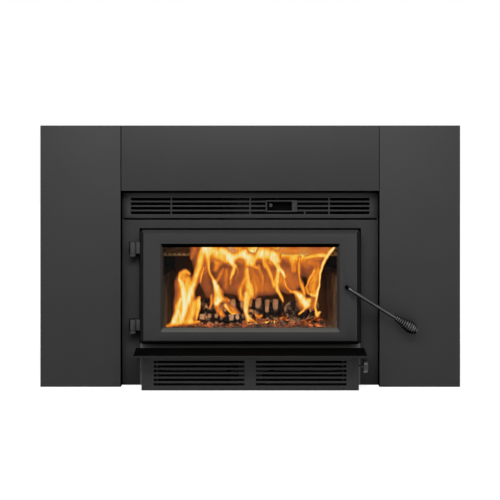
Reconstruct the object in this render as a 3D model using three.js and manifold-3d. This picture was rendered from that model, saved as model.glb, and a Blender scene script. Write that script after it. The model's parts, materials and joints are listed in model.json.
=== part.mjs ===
// A wood-burning fireplace insert: a steel firebox in a convection casing that slides into a masonry
// fireplace, with a three-piece surround, a glazed door on lift-off hinges, an ash shelf and a blower.
// Millimetres, +Z up. The front faces -Y, +X is to the right, and Y = 0 is the wall that the surround closes.
import * as THREE from "three";
import { mergeVertices } from "three/addons/utils/BufferGeometryUtils.js";
import Module from "manifold-3d";

const wasm = await Module();
wasm.setup();

// ---------------------------------------------------------------- driving dimensions

const seatGap = 0.3; // between two pieces that touch
const runningGap = 0.15; // round a shaft in its bore

const surroundWidth = 1117.6; // 44 inches
const surroundHeight = 696;
const surroundDepth = 25.4;
const surroundSheet = 2;
const panelSeam = 0.6;
const panelTabDepth = 30; // how far the panels reach back along the casing's sides and roof
const seamLip = 12; // how far a side panel reaches behind the top panel
const topPanelGap = 5; // dark gap between the body and the top panel

const doorWidth = 588;
const doorHeight = 305;
const doorShelfGap = 13.4; // from the ash shelf up to the door
const doorCorner = 10;
const doorFront = -34; // Y of the door's front face
const doorBackGap = 1.5; // between the door and the body face
const doorBevel = 10.6; // seen from the front
const doorBevelDepth = 14;
const bevelCorner = 2; // corner radius at the top of a bevel
const doorWall = 6;
const doorPlate = 13;
const viewSideMargin = 62.7; // from the door's sides to the glass that shows
const viewLowerMargin = 44.2;
const viewUpperMargin = 46.4;
const viewBevelSide = 7;
const viewBevelEnd = 10;
const viewBevelDepth = 12;
const viewCorner = 3;
const glassOverlap = 10;
const glassThickness = 5;
const glassGasket = 1.4;
const glassGasketWidth = 8;
const retainerSheet = 2;
const retainerGrip = 9; // how far a retainer reaches over the glass
const retainerFlange = 10;
const retainerInset = 21.3; // from the ends of the glass
const retainerScrews = 3;
const retainerScrewRadius = 2.2;
const retainerScrewHead = 4.4;
const retainerScrewHeadHeight = 3;
const retainerScrewDepth = 7;
const ropeRadius = 5;
const ropeSlack = 0.5;
const ropeCorner = 10;
const ropeChannelWall = 4;

const faceSetback = 5; // the body face lies this far behind the wall plane
const facePlate = 5;
const faceSideMargin = 50; // from the door's sides to the body's sides
const faceAboveDoor = 26;
const mouthSideInset = 54; // from the door's outline to the mouth's
const mouthEndInset = 33;
const mouthCorner = 8;
const dischargeInset = 22; // the two openings that the blower blows through start here
const dischargeClearance = 1; // from their outer ends to the bearings
const dischargeBelowRotor = 31.5;
const dischargeAboveRotor = 33.5;

const grillePlate = 4;
const grilleGap = 5; // between the body face and the grille
const grilleHeight = 68;
const slotRows = 4;
const slotPitch = 12.1;
const slotHeight = 7.6;
const slotMargin = 23; // from the body's sides to the slots
const slotRibInset = 108.5; // from the ends of the slots to the outer ribs
const slotRibWidth = 3.7;
const slotTopOffset = 17.6; // top edge of the grille to the centre of the first row
const lowRibPlace = 147; // the short rib in the lowest row only

const windowLeft = 45.2; // opening of the air-control window
const windowWidth = 67.3;
const windowHeight = 24.7;
const windowDrop = 23.5; // from the grille's top edge
const windowBorder = 3.3;
const windowTab = 13.7; // the wider border on the right, with the screw
const windowPlate = 2.2;
const windowLand = 1; // how far the border hides the ends of the cut slots
const frameScrewRadius = 1.8;
const frameScrewHead = 3.6;
const frameScrewHeadHeight = 2;
const frameScrewEnd = 2; // how far it stands out behind the grille

const leverInset = 10.2; // from the window's left end, at rest
const leverAboveMiddle = 2;
const leverTravel = 45;
const leverRodRadius = 2.5;
const leverKnobRadius = 4.6;
const leverKnobLength = 7;
const leverKnobFront = 9; // how far the knob stands in front of the window frame
const leverSlotHalf = 9;
const leverSlotSpare = 8; // slot to the left of the lever's travel
const shutterThickness = 2;
const shutterWidth = 90;
const shutterLead = 20; // how far the shutter reaches to the left of the lever
const inletSheet = 1.5;
const inletLeftReach = 15.2; // past the window's left end
const inletRightReach = 99.5; // past its right end
const inletFront = 22;
const inletDepth = 40;
const inletHeadroom = 18.7; // under the casing's top
const inletSlotInset = 12;
const inletSlotFront = 4;
const inletSlotBack = 6;
const railWidth = 2;
const railLip = 1.2;
const railBelowWindow = 20;

const hingeReach = 19.2; // from the door's side to the hinge axis
const hingeSetback = 20; // from the door's front face to the hinge axis
const knuckleRadius = 10.25;
const knuckleHeight = 31.5;
const upperKnuckleDrop = 63.7; // from the door's top to the upper knuckle's lower end
const lowerKnuckleRise = 35.3; // from the door's bottom to the lower knuckle's lower end
const knucklePinRadius = 5;
const knuckleLeaf = 8;
const lugRadius = 9.3;
const lugHeight = 7.6;
const pinEndInset = 3;

const handleInset = 38; // from the door's side to the shaft
const handleAboveMiddle = 0.5; // of the door, to the shaft
const handleRodRadius = 4.75;
const handleSlope = 32; // degrees below level, at rest
const handleReach = 217; // from the shaft to the rod's end
const handleStandoff = 14; // from the door's front to the middle of the rod
const handleBend = 12;
const latchFingerLength = 34;
const latchFingerWidth = 8;
const latchFingerThickness = 6;
const latchFingerGap = 0.8; // behind the body face
const latchHubRadius = 8;
const latchNutRadius = 7.3;
const latchNutHeight = 5;
const latchShaftEnd = 2;
const keeperClearance = 0.9; // from the finger to the keeper edge at rest
const hubNotchGap = 1.5; // round the hub as the door swings
const notchHeadroom = 3; // over the finger's tip
const gripOffset = 150; // along the rod, from the shaft
const gripLength = 66;
const gripTurns = 13;
const gripWireRadius = 1.7;
const gripEndRadius = 7.4; // of the wire's middle line
const gripFullRadius = 14.8;
const gripFullest = 0.66; // where along the grip it is fullest

const casingSheet = 1.5;
const casingTaper = 64; // how far each side draws in towards the back
const casingStraight = 36; // the sides run straight back before they taper
const rearAirSpace = 42; // behind the firebox
const basePlate = 3;

const fireboxReveal = 26; // from the mouth's side to the shell's, inside
const fireboxDrawIn = 9; // how far each side draws in towards the back
const fireboxBack = 353; // Y of the shell's inner back
const fireboxPlate = 5;
const fireboxFloorDrop = 5; // from the door's bottom to the floor plate's underside
const faceOverShell = 14; // how far the body face rises past the shell's top
const skirtWindowMargin = 55;
const skirtWindowBottom = 14;
const skirtWindowDrop = 12; // from the floor plate to the windows
const brickThickness = 31.5;
const brickJoint = 1.6;
const brickScore = 3; // depth of the joints scored in the slabs
const brickFront = 26;
const sideBrickDrop = 138; // from the shell's top
const rearBrickDrop = 100;
const sideBricks = 3;
const rearBricks = 4;
const floorBricksAcross = 4;
const floorBricksDeep = 2;

const channelReveal = 2; // from the mouth's side to the air channels' inner faces
const channelBelowTubes = 14;
const channelAboveTubes = 12.2;
const channelFront = 30;
const channelSheet = 2.5;
const tubeRadius = 6.5;
const tubeWall = 1.5;
const tubeDrop = 81; // from the shell's top
const tubeCount = 3;
const firstTube = 75; // Y of its middle
const tubePitch = 90;
const tubeInChannel = 9;
const baffleThickness = 13;
const baffleFront = 62;
const baffleBearing = 12; // how far a baffle board rests on its channel
const deflectorInset = 4; // from the mouth's sides
const deflectorHeight = 36;
const deflectorDepth = 28;
const deflectorSheet = 2;
const flueRadius = 76.2; // 6 inch flue
const flueWall = 3;
const flueHeight = 130;
const flueFlange = 16;
const flueFlangeThickness = 3;
const flueFromBack = 138; // from the shell's inner back
const flueCasingGap = 0.8;

const shelfOverhang = 15.3; // past the housing's sides, at the front
const shelfFlare = 8; // each side is this much wider at the back
const shelfFront = -136;
const shelfThickness = 6.3;

const housingInset = 9.8; // from the door's sides
const housingFront = -77;
const housingHeight = 93;
const housingSheet = 1.5;
const louvreRows = 6;
const louvrePitch = 11.7;
const louvreHeight = 6.3;
const louvreLowest = 16.2;
const louvreInner = 15; // X where each louvre starts
const louvreMargin = 32.5; // from the housing's ends

const rotorSetback = 42; // from the housing's front
const rotorShaftRadius = 4;
const rotorShaftOverrun = 3; // past the bearings
const motorRadius = 32;
const motorLength = 62;
const motorFootWidth = 40;
const wheelInner = 50; // X where each wheel starts
const wheelEndRoom = 48.2; // from each wheel to the housing's end
const wheelRadius = 29;
const wheelBlades = 16;
const bladeThickness = 1.4;
const bladeDepth = 7;
const bladePitch = 35; // degrees
const bladeInset = 0.4; // from the discs' edges
const wheelDisc = 2;
const wheelHubRadius = 9;
const wheelHubLength = 12;
const scrollGap = 5;
const scrollSheet = 1.2;
const scrollLead = 4; // how far a scroll starts before its wheel
const scrollFirst = 150; // degrees from straight back, over the top
const scrollLast = 60;
const scrollSteps = 6;
const bearingGap = 5; // from a wheel to its bearing
const bearingThickness = 6;
const bearingDepth = 64;
const bearingHeight = 80;

const knobSetback = 17; // from the housing's front
const knobPlaceZ = 61.5;
const knobRadius = 17.2;
const knobLength = 13.6;
const knobStandoff = 12; // from the housing to the knob
const knobShaftRadius = 3;
const knobPointer = 1;
const knobPointerWidth = 2.4;
const knobChamfer = 2.4;
const controlSize = 24;
const controlDepth = 20;
const glandPlaceZ = 51;
const glandRadius = 7.5;
const glandNeck = 5.7;
const glandFlange = 2.5;

const emberHeight = 6;
const emberSideMargin = 22.5; // from the side bricks
const emberFrontMargin = 24; // from the front of the floor bricks
const emberBackMargin = 21.2; // from the rear bricks
const emberSlope = 14;
const rearLogRadius = 33;
const rearLogMargins = [52, 116]; // from the sides of the ember bed to its ends
const rearLogDepths = [205, 192];
const frontLogRadius = 17;
const frontLogMargins = [20, 198];
const frontLogDepths = [100, 112];
const rightLogRadius = 34;
const rightLogMargins = [92, 38];
const rightLogDepths = [112, 236];

// ---------------------------------------------------------------- values worked out from them

const faceFront = faceSetback;
const faceBack = faceFront + facePlate;
const behindFace = faceBack + seatGap;

const shelfBottom = housingHeight + seatGap;
const doorBottom = shelfBottom + shelfThickness + doorShelfGap;
const doorTop = doorBottom + doorHeight;
const doorHalf = doorWidth / 2;
const doorBack = faceFront - doorBackGap;
const doorPlateBack = doorFront + doorPlate;
const viewHalf = doorHalf - viewSideMargin;
const viewBottom = doorBottom + viewLowerMargin;
const viewTop = doorTop - viewUpperMargin;
const glassBottom = viewBottom - glassOverlap;
const glassTop = viewTop + glassOverlap;
const glassHalf = viewHalf + glassOverlap;
const glassFront = doorPlateBack + glassGasket + 2 * seatGap;
const glassBack = glassFront + glassThickness;

const bodyHalf = doorHalf + faceSideMargin;
const faceHeight = doorTop + faceAboveDoor;
const grilleBottom = faceHeight + grilleGap;
const bodyHeight = grilleBottom + grilleHeight;
const topPanelBottom = bodyHeight + topPanelGap;
const sideInner = bodyHalf + seatGap;
const grilleFront = faceBack - grillePlate;
const slotHalf = bodyHalf - slotMargin;
const windowRight = windowLeft + windowWidth;
const windowTop = bodyHeight - windowDrop;
const windowBottom = windowTop - windowHeight;
const leverPlace = windowLeft + leverInset;

const mouthHalf = doorHalf - mouthSideInset;
const mouthBottom = doorBottom + mouthEndInset;
const mouthTop = doorTop - mouthEndInset;

const fireboxHalf = mouthHalf + fireboxReveal;
const fireboxBackHalf = fireboxHalf - fireboxDrawIn;
const fireboxFloor = doorBottom - fireboxFloorDrop;
const fireboxTop = faceHeight - faceOverShell;
const fireboxInnerFloor = fireboxFloor + fireboxPlate;
const brickFloorTop = fireboxInnerFloor + seatGap + brickThickness;
const sideBrickTop = fireboxTop - sideBrickDrop;
const rearBrickTop = fireboxTop - rearBrickDrop;
const tubeHeight = fireboxTop - tubeDrop;
const channelBottom = tubeHeight - channelBelowTubes;
const channelTop = tubeHeight + channelAboveTubes;
const channelInner = mouthHalf + channelReveal;
const tubePlaces = Array.from({ length: tubeCount }, (_, i) => firstTube + i * tubePitch);
const fluePlace = fireboxBack - flueFromBack;
const casingDepth = fireboxBack + fireboxPlate + rearAirSpace;
const casingBackHalf = bodyHalf - casingTaper;

const hingePlace = -doorHalf - hingeReach;
const hingeAxisY = doorFront + hingeSetback;
const handlePlaceX = doorHalf - handleInset;
const handlePlaceZ = (doorBottom + doorTop) / 2 + handleAboveMiddle;
const latchFingerFront = faceBack + latchFingerGap;
const handleAxis = -handleSlope * (Math.PI / 180);
const handleAlong = new THREE.Vector3(Math.cos(handleAxis), 0, Math.sin(handleAxis));
const handleRodY = doorFront - handleStandoff;

const housingHalf = doorHalf - housingInset;
const housingBack = faceFront - seatGap;
const rotorY = housingFront + rotorSetback;
const rotorZ = housingHeight / 2;
const wheelLength = housingHalf - wheelInner - wheelEndRoom;
const bearingInner = wheelInner + wheelLength + bearingGap;
const dischargeOuter = bearingInner - dischargeClearance;
const dischargeBottom = rotorZ - dischargeBelowRotor;
const dischargeTop = rotorZ + dischargeAboveRotor;
const knobPlaceY = housingFront + knobSetback;

// ---------------------------------------------------------------- geometry

// A closed geometry as a solid that can be joined and cut.
function solidOf(geometry) {
  const bare = geometry.clone();
  bare.deleteAttribute("normal");
  bare.deleteAttribute("uv");
  const merged = mergeVertices(bare, 1e-4);
  return new wasm.Manifold(
    new wasm.Mesh({
      numProp: 3,
      vertProperties: merged.attributes.position.array,
      triVerts: new Uint32Array(merged.index.array),
    }),
  );
}

// A solid as a geometry with flat faces.
function geometryOf(solid) {
  const mesh = solid.getMesh();
  const indexed = new THREE.BufferGeometry();
  indexed.setAttribute("position", new THREE.BufferAttribute(mesh.vertProperties, 3));
  indexed.setIndex(new THREE.BufferAttribute(mesh.triVerts, 1));
  const flat = indexed.toNonIndexed();
  flat.computeVertexNormals();
  return flat;
}

// A box from its ranges along X, Y and Z; the ends of a range can be given in either order.
function block(x, y, z) {
  const size = [x, y, z].map(([a, b]) => Math.abs(b - a));
  const middle = [x, y, z].map(([a, b]) => (a + b) / 2);
  return solidOf(new THREE.BoxGeometry(...size).translate(...middle));
}

// An outline pushed along an axis. Its points are (Y, Z) for axis x, (X, Z) for y and (X, Y) for z.
function prism(axis, outline, from, to) {
  const points = outline.map(([a, b]) => (axis === "y" ? new THREE.Vector2(b, a) : new THREE.Vector2(a, b)));
  const x = new THREE.Vector3(1, 0, 0);
  const y = new THREE.Vector3(0, 1, 0);
  const z = new THREE.Vector3(0, 0, 1);
  const frames = { x: [y, z, x], y: [z, x, y], z: [x, y, z] };
  const low = Math.min(from, to);
  const pushed = new THREE.ExtrudeGeometry(new THREE.Shape(points), {
    depth: Math.abs(to - from),
    bevelEnabled: false,
  });
  pushed.translate(0, 0, low);
  pushed.applyMatrix4(new THREE.Matrix4().makeBasis(...frames[axis]));
  return solidOf(pushed);
}

function circle(radius, centre, sides, turn = 0) {
  return Array.from({ length: sides }, (_, i) => {
    const angle = ((i + turn) / sides) * 2 * Math.PI;
    return [centre[0] + radius * Math.cos(angle), centre[1] + radius * Math.sin(angle)];
  });
}

// A round bar along an axis, and the bore that a bar of that radius runs in.
const bar = (axis, radius, centre, from, to, sides = 16) =>
  prism(axis, circle(radius, centre, sides), from, to);
const bore = (axis, radius, centre, from, to, sides = 16) =>
  bar(axis, (radius + runningGap) / Math.cos(Math.PI / sides), centre, from, to, sides);

// A solid turned about an axis along X, from (x, radius) points that start and end on it.
function turnedAlongX(profile, centreY, centreZ, sides) {
  const points = profile.map(([x, radius]) => new THREE.Vector2(radius, x));
  const lathe = new THREE.LatheGeometry(points, sides);
  lathe.rotateZ(-Math.PI / 2);
  lathe.translate(0, centreY, centreZ);
  return solidOf(lathe);
}

// A rectangle with rounded corners in X and Z, as points that run once round it.
function roundedRectangle(half, bottom, top, radius, steps = 3) {
  const corners = [
    [half - radius, bottom + radius, -90],
    [half - radius, top - radius, 0],
    [-half + radius, top - radius, 90],
    [-half + radius, bottom + radius, 180],
  ];
  return corners.flatMap(([x, z, start]) =>
    Array.from({ length: steps + 1 }, (_, i) => {
      const angle = THREE.MathUtils.degToRad(start + (90 * i) / steps);
      return [x + radius * Math.cos(angle), z + radius * Math.sin(angle)];
    }),
  );
}

// A closed surface through rings of equally many points. The ends are closed flat.
function loft(rings, endless = false) {
  const count = rings[0].length;
  const index = [];
  const bands = endless ? rings.length : rings.length - 1;
  for (let r = 0; r < bands; r += 1) {
    const here = r * count;
    const next = ((r + 1) % rings.length) * count;
    for (let i = 0; i < count; i += 1) {
      const j = (i + 1) % count;
      index.push(here + i, here + j, next + j, here + i, next + j, next + i);
    }
  }
  const last = (rings.length - 1) * count;
  for (let i = 1; i < count - 1 && !endless; i += 1) {
    index.push(0, i + 1, i, last, last + i, last + i + 1);
  }
  const geometry = new THREE.BufferGeometry();
  geometry.setAttribute("position", new THREE.Float32BufferAttribute(rings.flat(2), 3));
  geometry.setIndex(index);
  return geometry;
}

// Rings of points round a path, each square to it, without twist between them.
function ringsAlong(path, radius, sides, endless = false) {
  const count = path.length;
  const tangents = path.map((_, i) => {
    const before = path[endless ? (i + count - 1) % count : Math.max(i - 1, 0)];
    const after = path[endless ? (i + 1) % count : Math.min(i + 1, count - 1)];
    return after.clone().sub(before).normalize();
  });
  const first = tangents[0];
  const aside = Math.abs(first.z) < 0.8 ? new THREE.Vector3(0, 0, 1) : new THREE.Vector3(1, 0, 0);
  const normal = aside.sub(first.clone().multiplyScalar(aside.dot(first))).normalize();
  return path.map((point, i) => {
    const tangent = tangents[i];
    normal.sub(tangent.clone().multiplyScalar(normal.dot(tangent))).normalize();
    const across = tangent.clone().cross(normal);
    return Array.from({ length: sides }, (_, k) => {
      const angle = (k / sides) * 2 * Math.PI;
      const place = point.clone();
      place.addScaledVector(normal, radius * Math.cos(angle));
      place.addScaledVector(across, radius * Math.sin(angle));
      return place.toArray();
    });
  });
}

// ---------------------------------------------------------------- materials and the group

const finishes = {
  charcoalPaint: { color: 0x3c3c3d, roughness: 0.62, metalness: 0.2 },
  blackSteel: { color: 0x2b2b2c, roughness: 0.45, metalness: 0.6 },
  fireboxSteel: { color: 0x262424, roughness: 0.85, metalness: 0.4 },
  galvanised: { color: 0x9a9c9e, roughness: 0.5, metalness: 0.8 },
  stainless: { color: 0x8a7560, roughness: 0.45, metalness: 0.9 },
  firebrick: { color: 0x8c7258, roughness: 0.95, metalness: 0 },
  baffleBoard: { color: 0xb9ad98, roughness: 0.95, metalness: 0 },
  ceramicGlass: { color: 0x9aa0a0, roughness: 0.05, metalness: 0, transparent: true, opacity: 0.3 },
  rope: { color: 0x3a3733, roughness: 1, metalness: 0 },
  blackPlastic: { color: 0x18181a, roughness: 0.5, metalness: 0 },
  motorIron: { color: 0x55585c, roughness: 0.5, metalness: 0.7 },
  zincPlate: { color: 0x8f9296, roughness: 0.4, metalness: 0.9 },
  charredWood: { color: 0x2a201a, roughness: 1, metalness: 0 },
  embers: { color: 0x5a2a14, roughness: 1, metalness: 0, emissive: 0x661a00 },
};

const insert = new THREE.Group();

function addPiece(name, shape, finish) {
  const geometry = shape.isBufferGeometry ? shape : geometryOf(shape);
  const mesh = new THREE.Mesh(geometry, new THREE.MeshStandardMaterial(finishes[finish]));
  mesh.name = name;
  insert.add(mesh);
  return mesh;
}

const together = (solids) => solids.reduce((sum, next) => sum.add(next));

// ---------------------------------------------------------------- surround

// One side panel, folded back to the wall on three edges. Beside the body its inner fold has a tab that grips
// the casing's side, and over the body it has a lip that the end of the top panel lies on.
function sidePanel(side) {
  const outer = (side * surroundWidth) / 2;
  const inner = side * sideInner;
  const foldedOuter = outer - side * surroundSheet;
  const foldedInner = inner + side * surroundSheet;
  const front = -surroundDepth;
  const lipFront = front + surroundSheet + seatGap;
  const lipZ = [topPanelBottom + surroundSheet + seatGap, surroundHeight - surroundSheet - seatGap];
  return together([
    block([inner, outer], [front, front + surroundSheet], [0, surroundHeight]),
    block([foldedOuter, outer], [front, 0], [0, surroundHeight]),
    block([inner, foldedInner], [front, 0], [0, surroundHeight]),
    block([inner, outer], [front, 0], [surroundHeight - surroundSheet, surroundHeight]),
    block([inner, foldedInner], [front, panelTabDepth], [0, topPanelBottom + surroundSheet]),
    block([inner - side * seamLip, foldedInner], [lipFront, lipFront + surroundSheet], lipZ),
  ]);
}

// The panel across the top. Its lower fold runs back over the casing and turns down on to its roof.

function topPanel() {
  const half = sideInner - panelSeam;
  const front = -surroundDepth;
  const turnDown = [bodyHeight + seatGap, topPanelBottom + surroundSheet];
  return together([
    block([-half, half], [front, front + surroundSheet], [topPanelBottom, surroundHeight]),
    block([-half, half], [front, 0], [surroundHeight - surroundSheet, surroundHeight]),
    block([-half, half], [front, panelTabDepth], [topPanelBottom, topPanelBottom + surroundSheet]),
    block([-half, half], [panelTabDepth - surroundSheet, panelTabDepth], turnDown),
  ]);
}

addPiece("faceplate_left", sidePanel(-1), "charcoalPaint");
addPiece("faceplate_right", sidePanel(1), "charcoalPaint");
addPiece("faceplate_top", topPanel(), "charcoalPaint");

// ---------------------------------------------------------------- body face and grille

const fingerRight = handlePlaceX + handleRodRadius;
const keeperEdge = fingerRight + keeperClearance;
const hubNotchRight = handlePlaceX + latchHubRadius + keeperClearance;
const hubNotch = latchHubRadius + hubNotchGap;

// The steel front of the body, with the door mouth, the notch that the latch passes and the blower's two
// openings.
function bodyFace() {
  const through = [faceFront - 1, faceBack + 1];
  let face = block([-bodyHalf, bodyHalf], [faceFront, faceBack], [0, faceHeight]);
  const mouth = roundedRectangle(mouthHalf, mouthBottom, mouthTop, mouthCorner);
  face = face.subtract(prism("y", mouth, ...through));
  const notchStart = mouthHalf - 1;
  const notchTop = handlePlaceZ + latchFingerLength + notchHeadroom;
  face = face.subtract(
    block([notchStart, hubNotchRight], through, [handlePlaceZ - hubNotch, handlePlaceZ + hubNotch]),
  );
  face = face.subtract(block([notchStart, keeperEdge], through, [handlePlaceZ, notchTop]));
  for (const side of [-1, 1]) {
    const ends = [side * dischargeInset, side * dischargeOuter];
    face = face.subtract(block(ends, through, [dischargeBottom, dischargeTop]));
  }
  return face;
}

// The four rows of slots, as a solid to cut with. The window's land stays whole in the middle rows.
function grilleSlots() {
  const outerRib = slotHalf - slotRibInset;
  const edges = [-slotHalf, -outerRib, 0, outerRib, slotHalf];
  const through = [grilleFront - 1, faceBack + 1];
  const slots = [];
  for (let row = 0; row < slotRows; row += 1) {
    const z = bodyHeight - slotTopOffset - row * slotPitch;
    for (let i = 0; i + 1 < edges.length; i += 1) {
      const from = edges[i] + (i > 0 ? slotRibWidth / 2 : 0);
      const to = edges[i + 1] - (i + 2 < edges.length ? slotRibWidth / 2 : 0);
      slots.push(block([from, to], through, [z - slotHeight / 2, z + slotHeight / 2]));
    }
  }
  const lowRow = bodyHeight - slotTopOffset - (slotRows - 1) * slotPitch;
  const lowRib = block(
    [lowRibPlace - slotRibWidth / 2, lowRibPlace + slotRibWidth / 2],
    through,
    [lowRow - slotHeight, lowRow + slotHeight],
  );
  const land = block(
    [windowLeft - windowBorder + windowLand, windowRight + windowTab - windowLand],
    through,
    [windowBottom - windowBorder + windowLand, windowTop + windowBorder - windowLand],
  );
  return together(slots).subtract(land).subtract(lowRib);
}

const screwX = windowRight + windowTab / 2;
const screwZ = (windowBottom + windowTop) / 2;
const windowFrameBack = grilleFront - seatGap;
const windowFrameFront = windowFrameBack - windowPlate;

function outletGrille() {
  const through = [grilleFront - 1, faceBack + 1];
  return block([-bodyHalf, bodyHalf], [grilleFront, faceBack], [grilleBottom, bodyHeight])
    .subtract(grilleSlots())
    .subtract(block([windowLeft, windowRight], through, [windowBottom, windowTop]))
    .subtract(bore("y", frameScrewRadius, [screwX, screwZ], ...through, 8));
}

function airControlFrame() {
  const through = [windowFrameFront - 1, windowFrameBack + 1];
  return block(
    [windowLeft - windowBorder, windowRight + windowTab],
    [windowFrameFront, windowFrameBack],
    [windowBottom - windowBorder, windowTop + windowBorder],
  )
    .subtract(block([windowLeft, windowRight], through, [windowBottom, windowTop]))
    .subtract(bore("y", frameScrewRadius, [screwX, screwZ], ...through, 8));
}

function frameScrew() {
  const headBack = windowFrameFront - seatGap;
  const head = bar("y", frameScrewHead, [screwX, screwZ], headBack - frameScrewHeadHeight, headBack, 6);
  return head.add(bar("y", frameScrewRadius, [screwX, screwZ], headBack - 1, faceBack + frameScrewEnd, 8));
}

addPiece("body_face", bodyFace(), "charcoalPaint");
addPiece("outlet_grille", outletGrille(), "charcoalPaint");
addPiece("air_control_frame", airControlFrame(), "charcoalPaint");
addPiece("air_frame_screw", frameScrew(), "blackSteel");

// ---------------------------------------------------------------- casing, base and firebox shell

// The casing's outline seen from above, drawn in by a margin.
function casingOutline(margin, front) {
  const half = bodyHalf - margin;
  const back = casingDepth - margin;
  const backHalf = casingBackHalf - margin;
  const bend = behindFace + casingStraight;
  return [
    [-half, front],
    [half, front],
    [half, bend],
    [backHalf, back],
    [-backHalf, back],
    [-half, bend],
  ];
}

function convectionCasing() {
  const bottom = basePlate + seatGap;
  const flueHole = bar("z", flueRadius + flueWall + flueCasingGap, [0, fluePlace], 0, bodyHeight + 1, 32);
  return prism("z", casingOutline(0, behindFace), bottom, bodyHeight)
    .subtract(prism("z", casingOutline(casingSheet, behindFace - 1), bottom - 1, bodyHeight - casingSheet))
    .subtract(flueHole);
}

const inletLeft = windowLeft - inletLeftReach;
const inletRight = windowRight + inletRightReach;
const inletBack = inletFront + inletDepth;
const inletSlot = {
  x: [inletLeft + inletSlotInset, inletRight - inletSlotInset],
  y: [inletFront + inletSlotFront, inletBack - inletSlotBack],
};

// The shell's half width inside, at a distance from the wall plane.
function shellHalf(y) {
  const share = (y - behindFace) / (fireboxBack - behindFace);
  return fireboxHalf + share * (fireboxBackHalf - fireboxHalf);
}

// The shell's outline seen from above, between two distances, drawn in by a margin.
function shellOutline(front, back, margin) {
  const frontHalf = shellHalf(front) - margin;
  const backHalf = shellHalf(back) - margin;
  return [
    [-frontHalf, front],
    [frontHalf, front],
    [backHalf, back],
    [-backHalf, back],
  ];
}

// The welded firebox, open to the body face. Its walls run down past the floor as a skirt, with windows for
// the air.
function fireboxShell() {
  const bottom = basePlate + seatGap;
  const outer = shellOutline(behindFace, fireboxBack + fireboxPlate, -fireboxPlate);
  const inner = shellOutline(behindFace - 1, fireboxBack, 0);
  const windowZ = [skirtWindowBottom, fireboxFloor - skirtWindowDrop];
  const windowX = fireboxBackHalf - skirtWindowMargin;
  return prism("z", outer, bottom, fireboxTop)
    .subtract(prism("z", inner, fireboxInnerFloor, fireboxTop - fireboxPlate))
    .subtract(prism("z", inner, bottom - 1, fireboxFloor))
    .subtract(block([-bodyHalf, bodyHalf], [skirtWindowMargin, fireboxBack - skirtWindowMargin], windowZ))
    .subtract(block([-windowX, windowX], [fireboxBack - 1, fireboxBack + fireboxPlate + 1], windowZ))
    .subtract(bar("z", flueRadius, [0, fluePlace], fireboxTop - fireboxPlate - 1, fireboxTop + 1, 32))
    .subtract(block(inletSlot.x, inletSlot.y, [fireboxTop - fireboxPlate - 1, fireboxTop + 1]));
}

addPiece("base_plate", prism("z", casingOutline(0, behindFace), 0, basePlate), "galvanised");
addPiece("convection_casing", convectionCasing(), "galvanised");
addPiece("firebox_shell", fireboxShell(), "fireboxSteel");

// ---------------------------------------------------------------- firebricks, air tubes and baffle

// The joints that part a length into equal bricks.
const jointsBetween = (from, to, count) =>
  Array.from({ length: count - 1 }, (_, i) => from + ((i + 1) * (to - from)) / count);

const around = (middle, width) => [middle - width / 2, middle + width / 2];
const rearBrickFront = fireboxBack - seatGap - brickThickness;
const brickBottom = fireboxInnerFloor + seatGap;

// The slab along one side stands on the floor plate and leans on the shell, which draws in towards the back.
// Upright joints score it into bricks.
function sideBrick(side) {
  const back = fireboxBack - seatGap;
  const inner = (y) => shellHalf(y) - seatGap - brickThickness;
  const outline = [
    [side * (shellHalf(brickFront) - seatGap), brickFront],
    [side * (shellHalf(back) - seatGap), back],
    [side * inner(back), back],
    [side * inner(brickFront), brickFront],
  ];
  const slab = prism("z", outline, brickBottom, sideBrickTop);
  const scores = jointsBetween(brickFront, rearBrickFront, sideBricks).map((y) =>
    block(
      [side * (inner(y) - 2), side * (inner(y) + brickScore)],
      around(y, brickJoint),
      [brickBottom - 1, sideBrickTop + 1],
    ),
  );
  return slab.subtract(together(scores));
}

// Half of the rear wall; the halves meet in the middle.
function rearBrick(side) {
  const half = shellHalf(fireboxBack) - brickThickness - 2 * seatGap;
  const slab = block(
    [side * seatGap, side * half],
    [rearBrickFront, fireboxBack - seatGap],
    [brickBottom, rearBrickTop],
  );
  const scores = jointsBetween(seatGap, half, rearBricks / 2).map((x) =>
    block(
      around(side * x, brickJoint),
      [rearBrickFront - 1, rearBrickFront + brickScore],
      [brickBottom - 1, rearBrickTop + 1],
    ),
  );
  return slab.subtract(together(scores));
}

// Half of the hearth floor inside the firebox, between the side and rear bricks.
function floorBrick(side) {
  const back = rearBrickFront - seatGap;
  const half = (y) => shellHalf(y) - brickThickness - 2 * seatGap;
  const outline = [
    [side * seatGap, brickFront],
    [side * half(brickFront), brickFront],
    [side * half(back), back],
    [side * seatGap, back],
  ];
  const slab = prism("z", outline, brickBottom, brickFloorTop);
  const height = [brickFloorTop - brickScore, brickFloorTop + 1];
  const across = jointsBetween(seatGap, half(brickFront), floorBricksAcross / 2).map((x) =>
    block(around(side * x, brickJoint), [brickFront - 1, back + 1], height),
  );
  const along = jointsBetween(brickFront, back, floorBricksDeep).map((y) =>
    block([0, side * fireboxHalf], around(y, brickJoint), height),
  );
  return slab.subtract(together([...across, ...along]));
}

// A sheet channel that carries the ends of the air tubes, open towards the shell.
function airChannel(side) {
  const back = rearBrickFront;
  const outline = (inner, front, rear, gap) => [
    [side * inner, front],
    [side * (shellHalf(front) + gap), front],
    [side * (shellHalf(rear) + gap), rear],
    [side * inner, rear],
  ];
  let channel = prism("z", outline(channelInner, channelFront, back, -seatGap), channelBottom, channelTop);
  const hollow = outline(channelInner + channelSheet, channelFront + channelSheet, back - channelSheet, 1);
  channel = channel.subtract(prism("z", hollow, channelBottom + channelSheet, channelTop - channelSheet));
  for (const y of tubePlaces) {
    const ends = [side * (channelInner - 1), side * (channelInner + channelSheet + 1)];
    channel = channel.subtract(bore("x", tubeRadius, [y, tubeHeight], ...ends, 14));
  }
  return channel;
}

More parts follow.
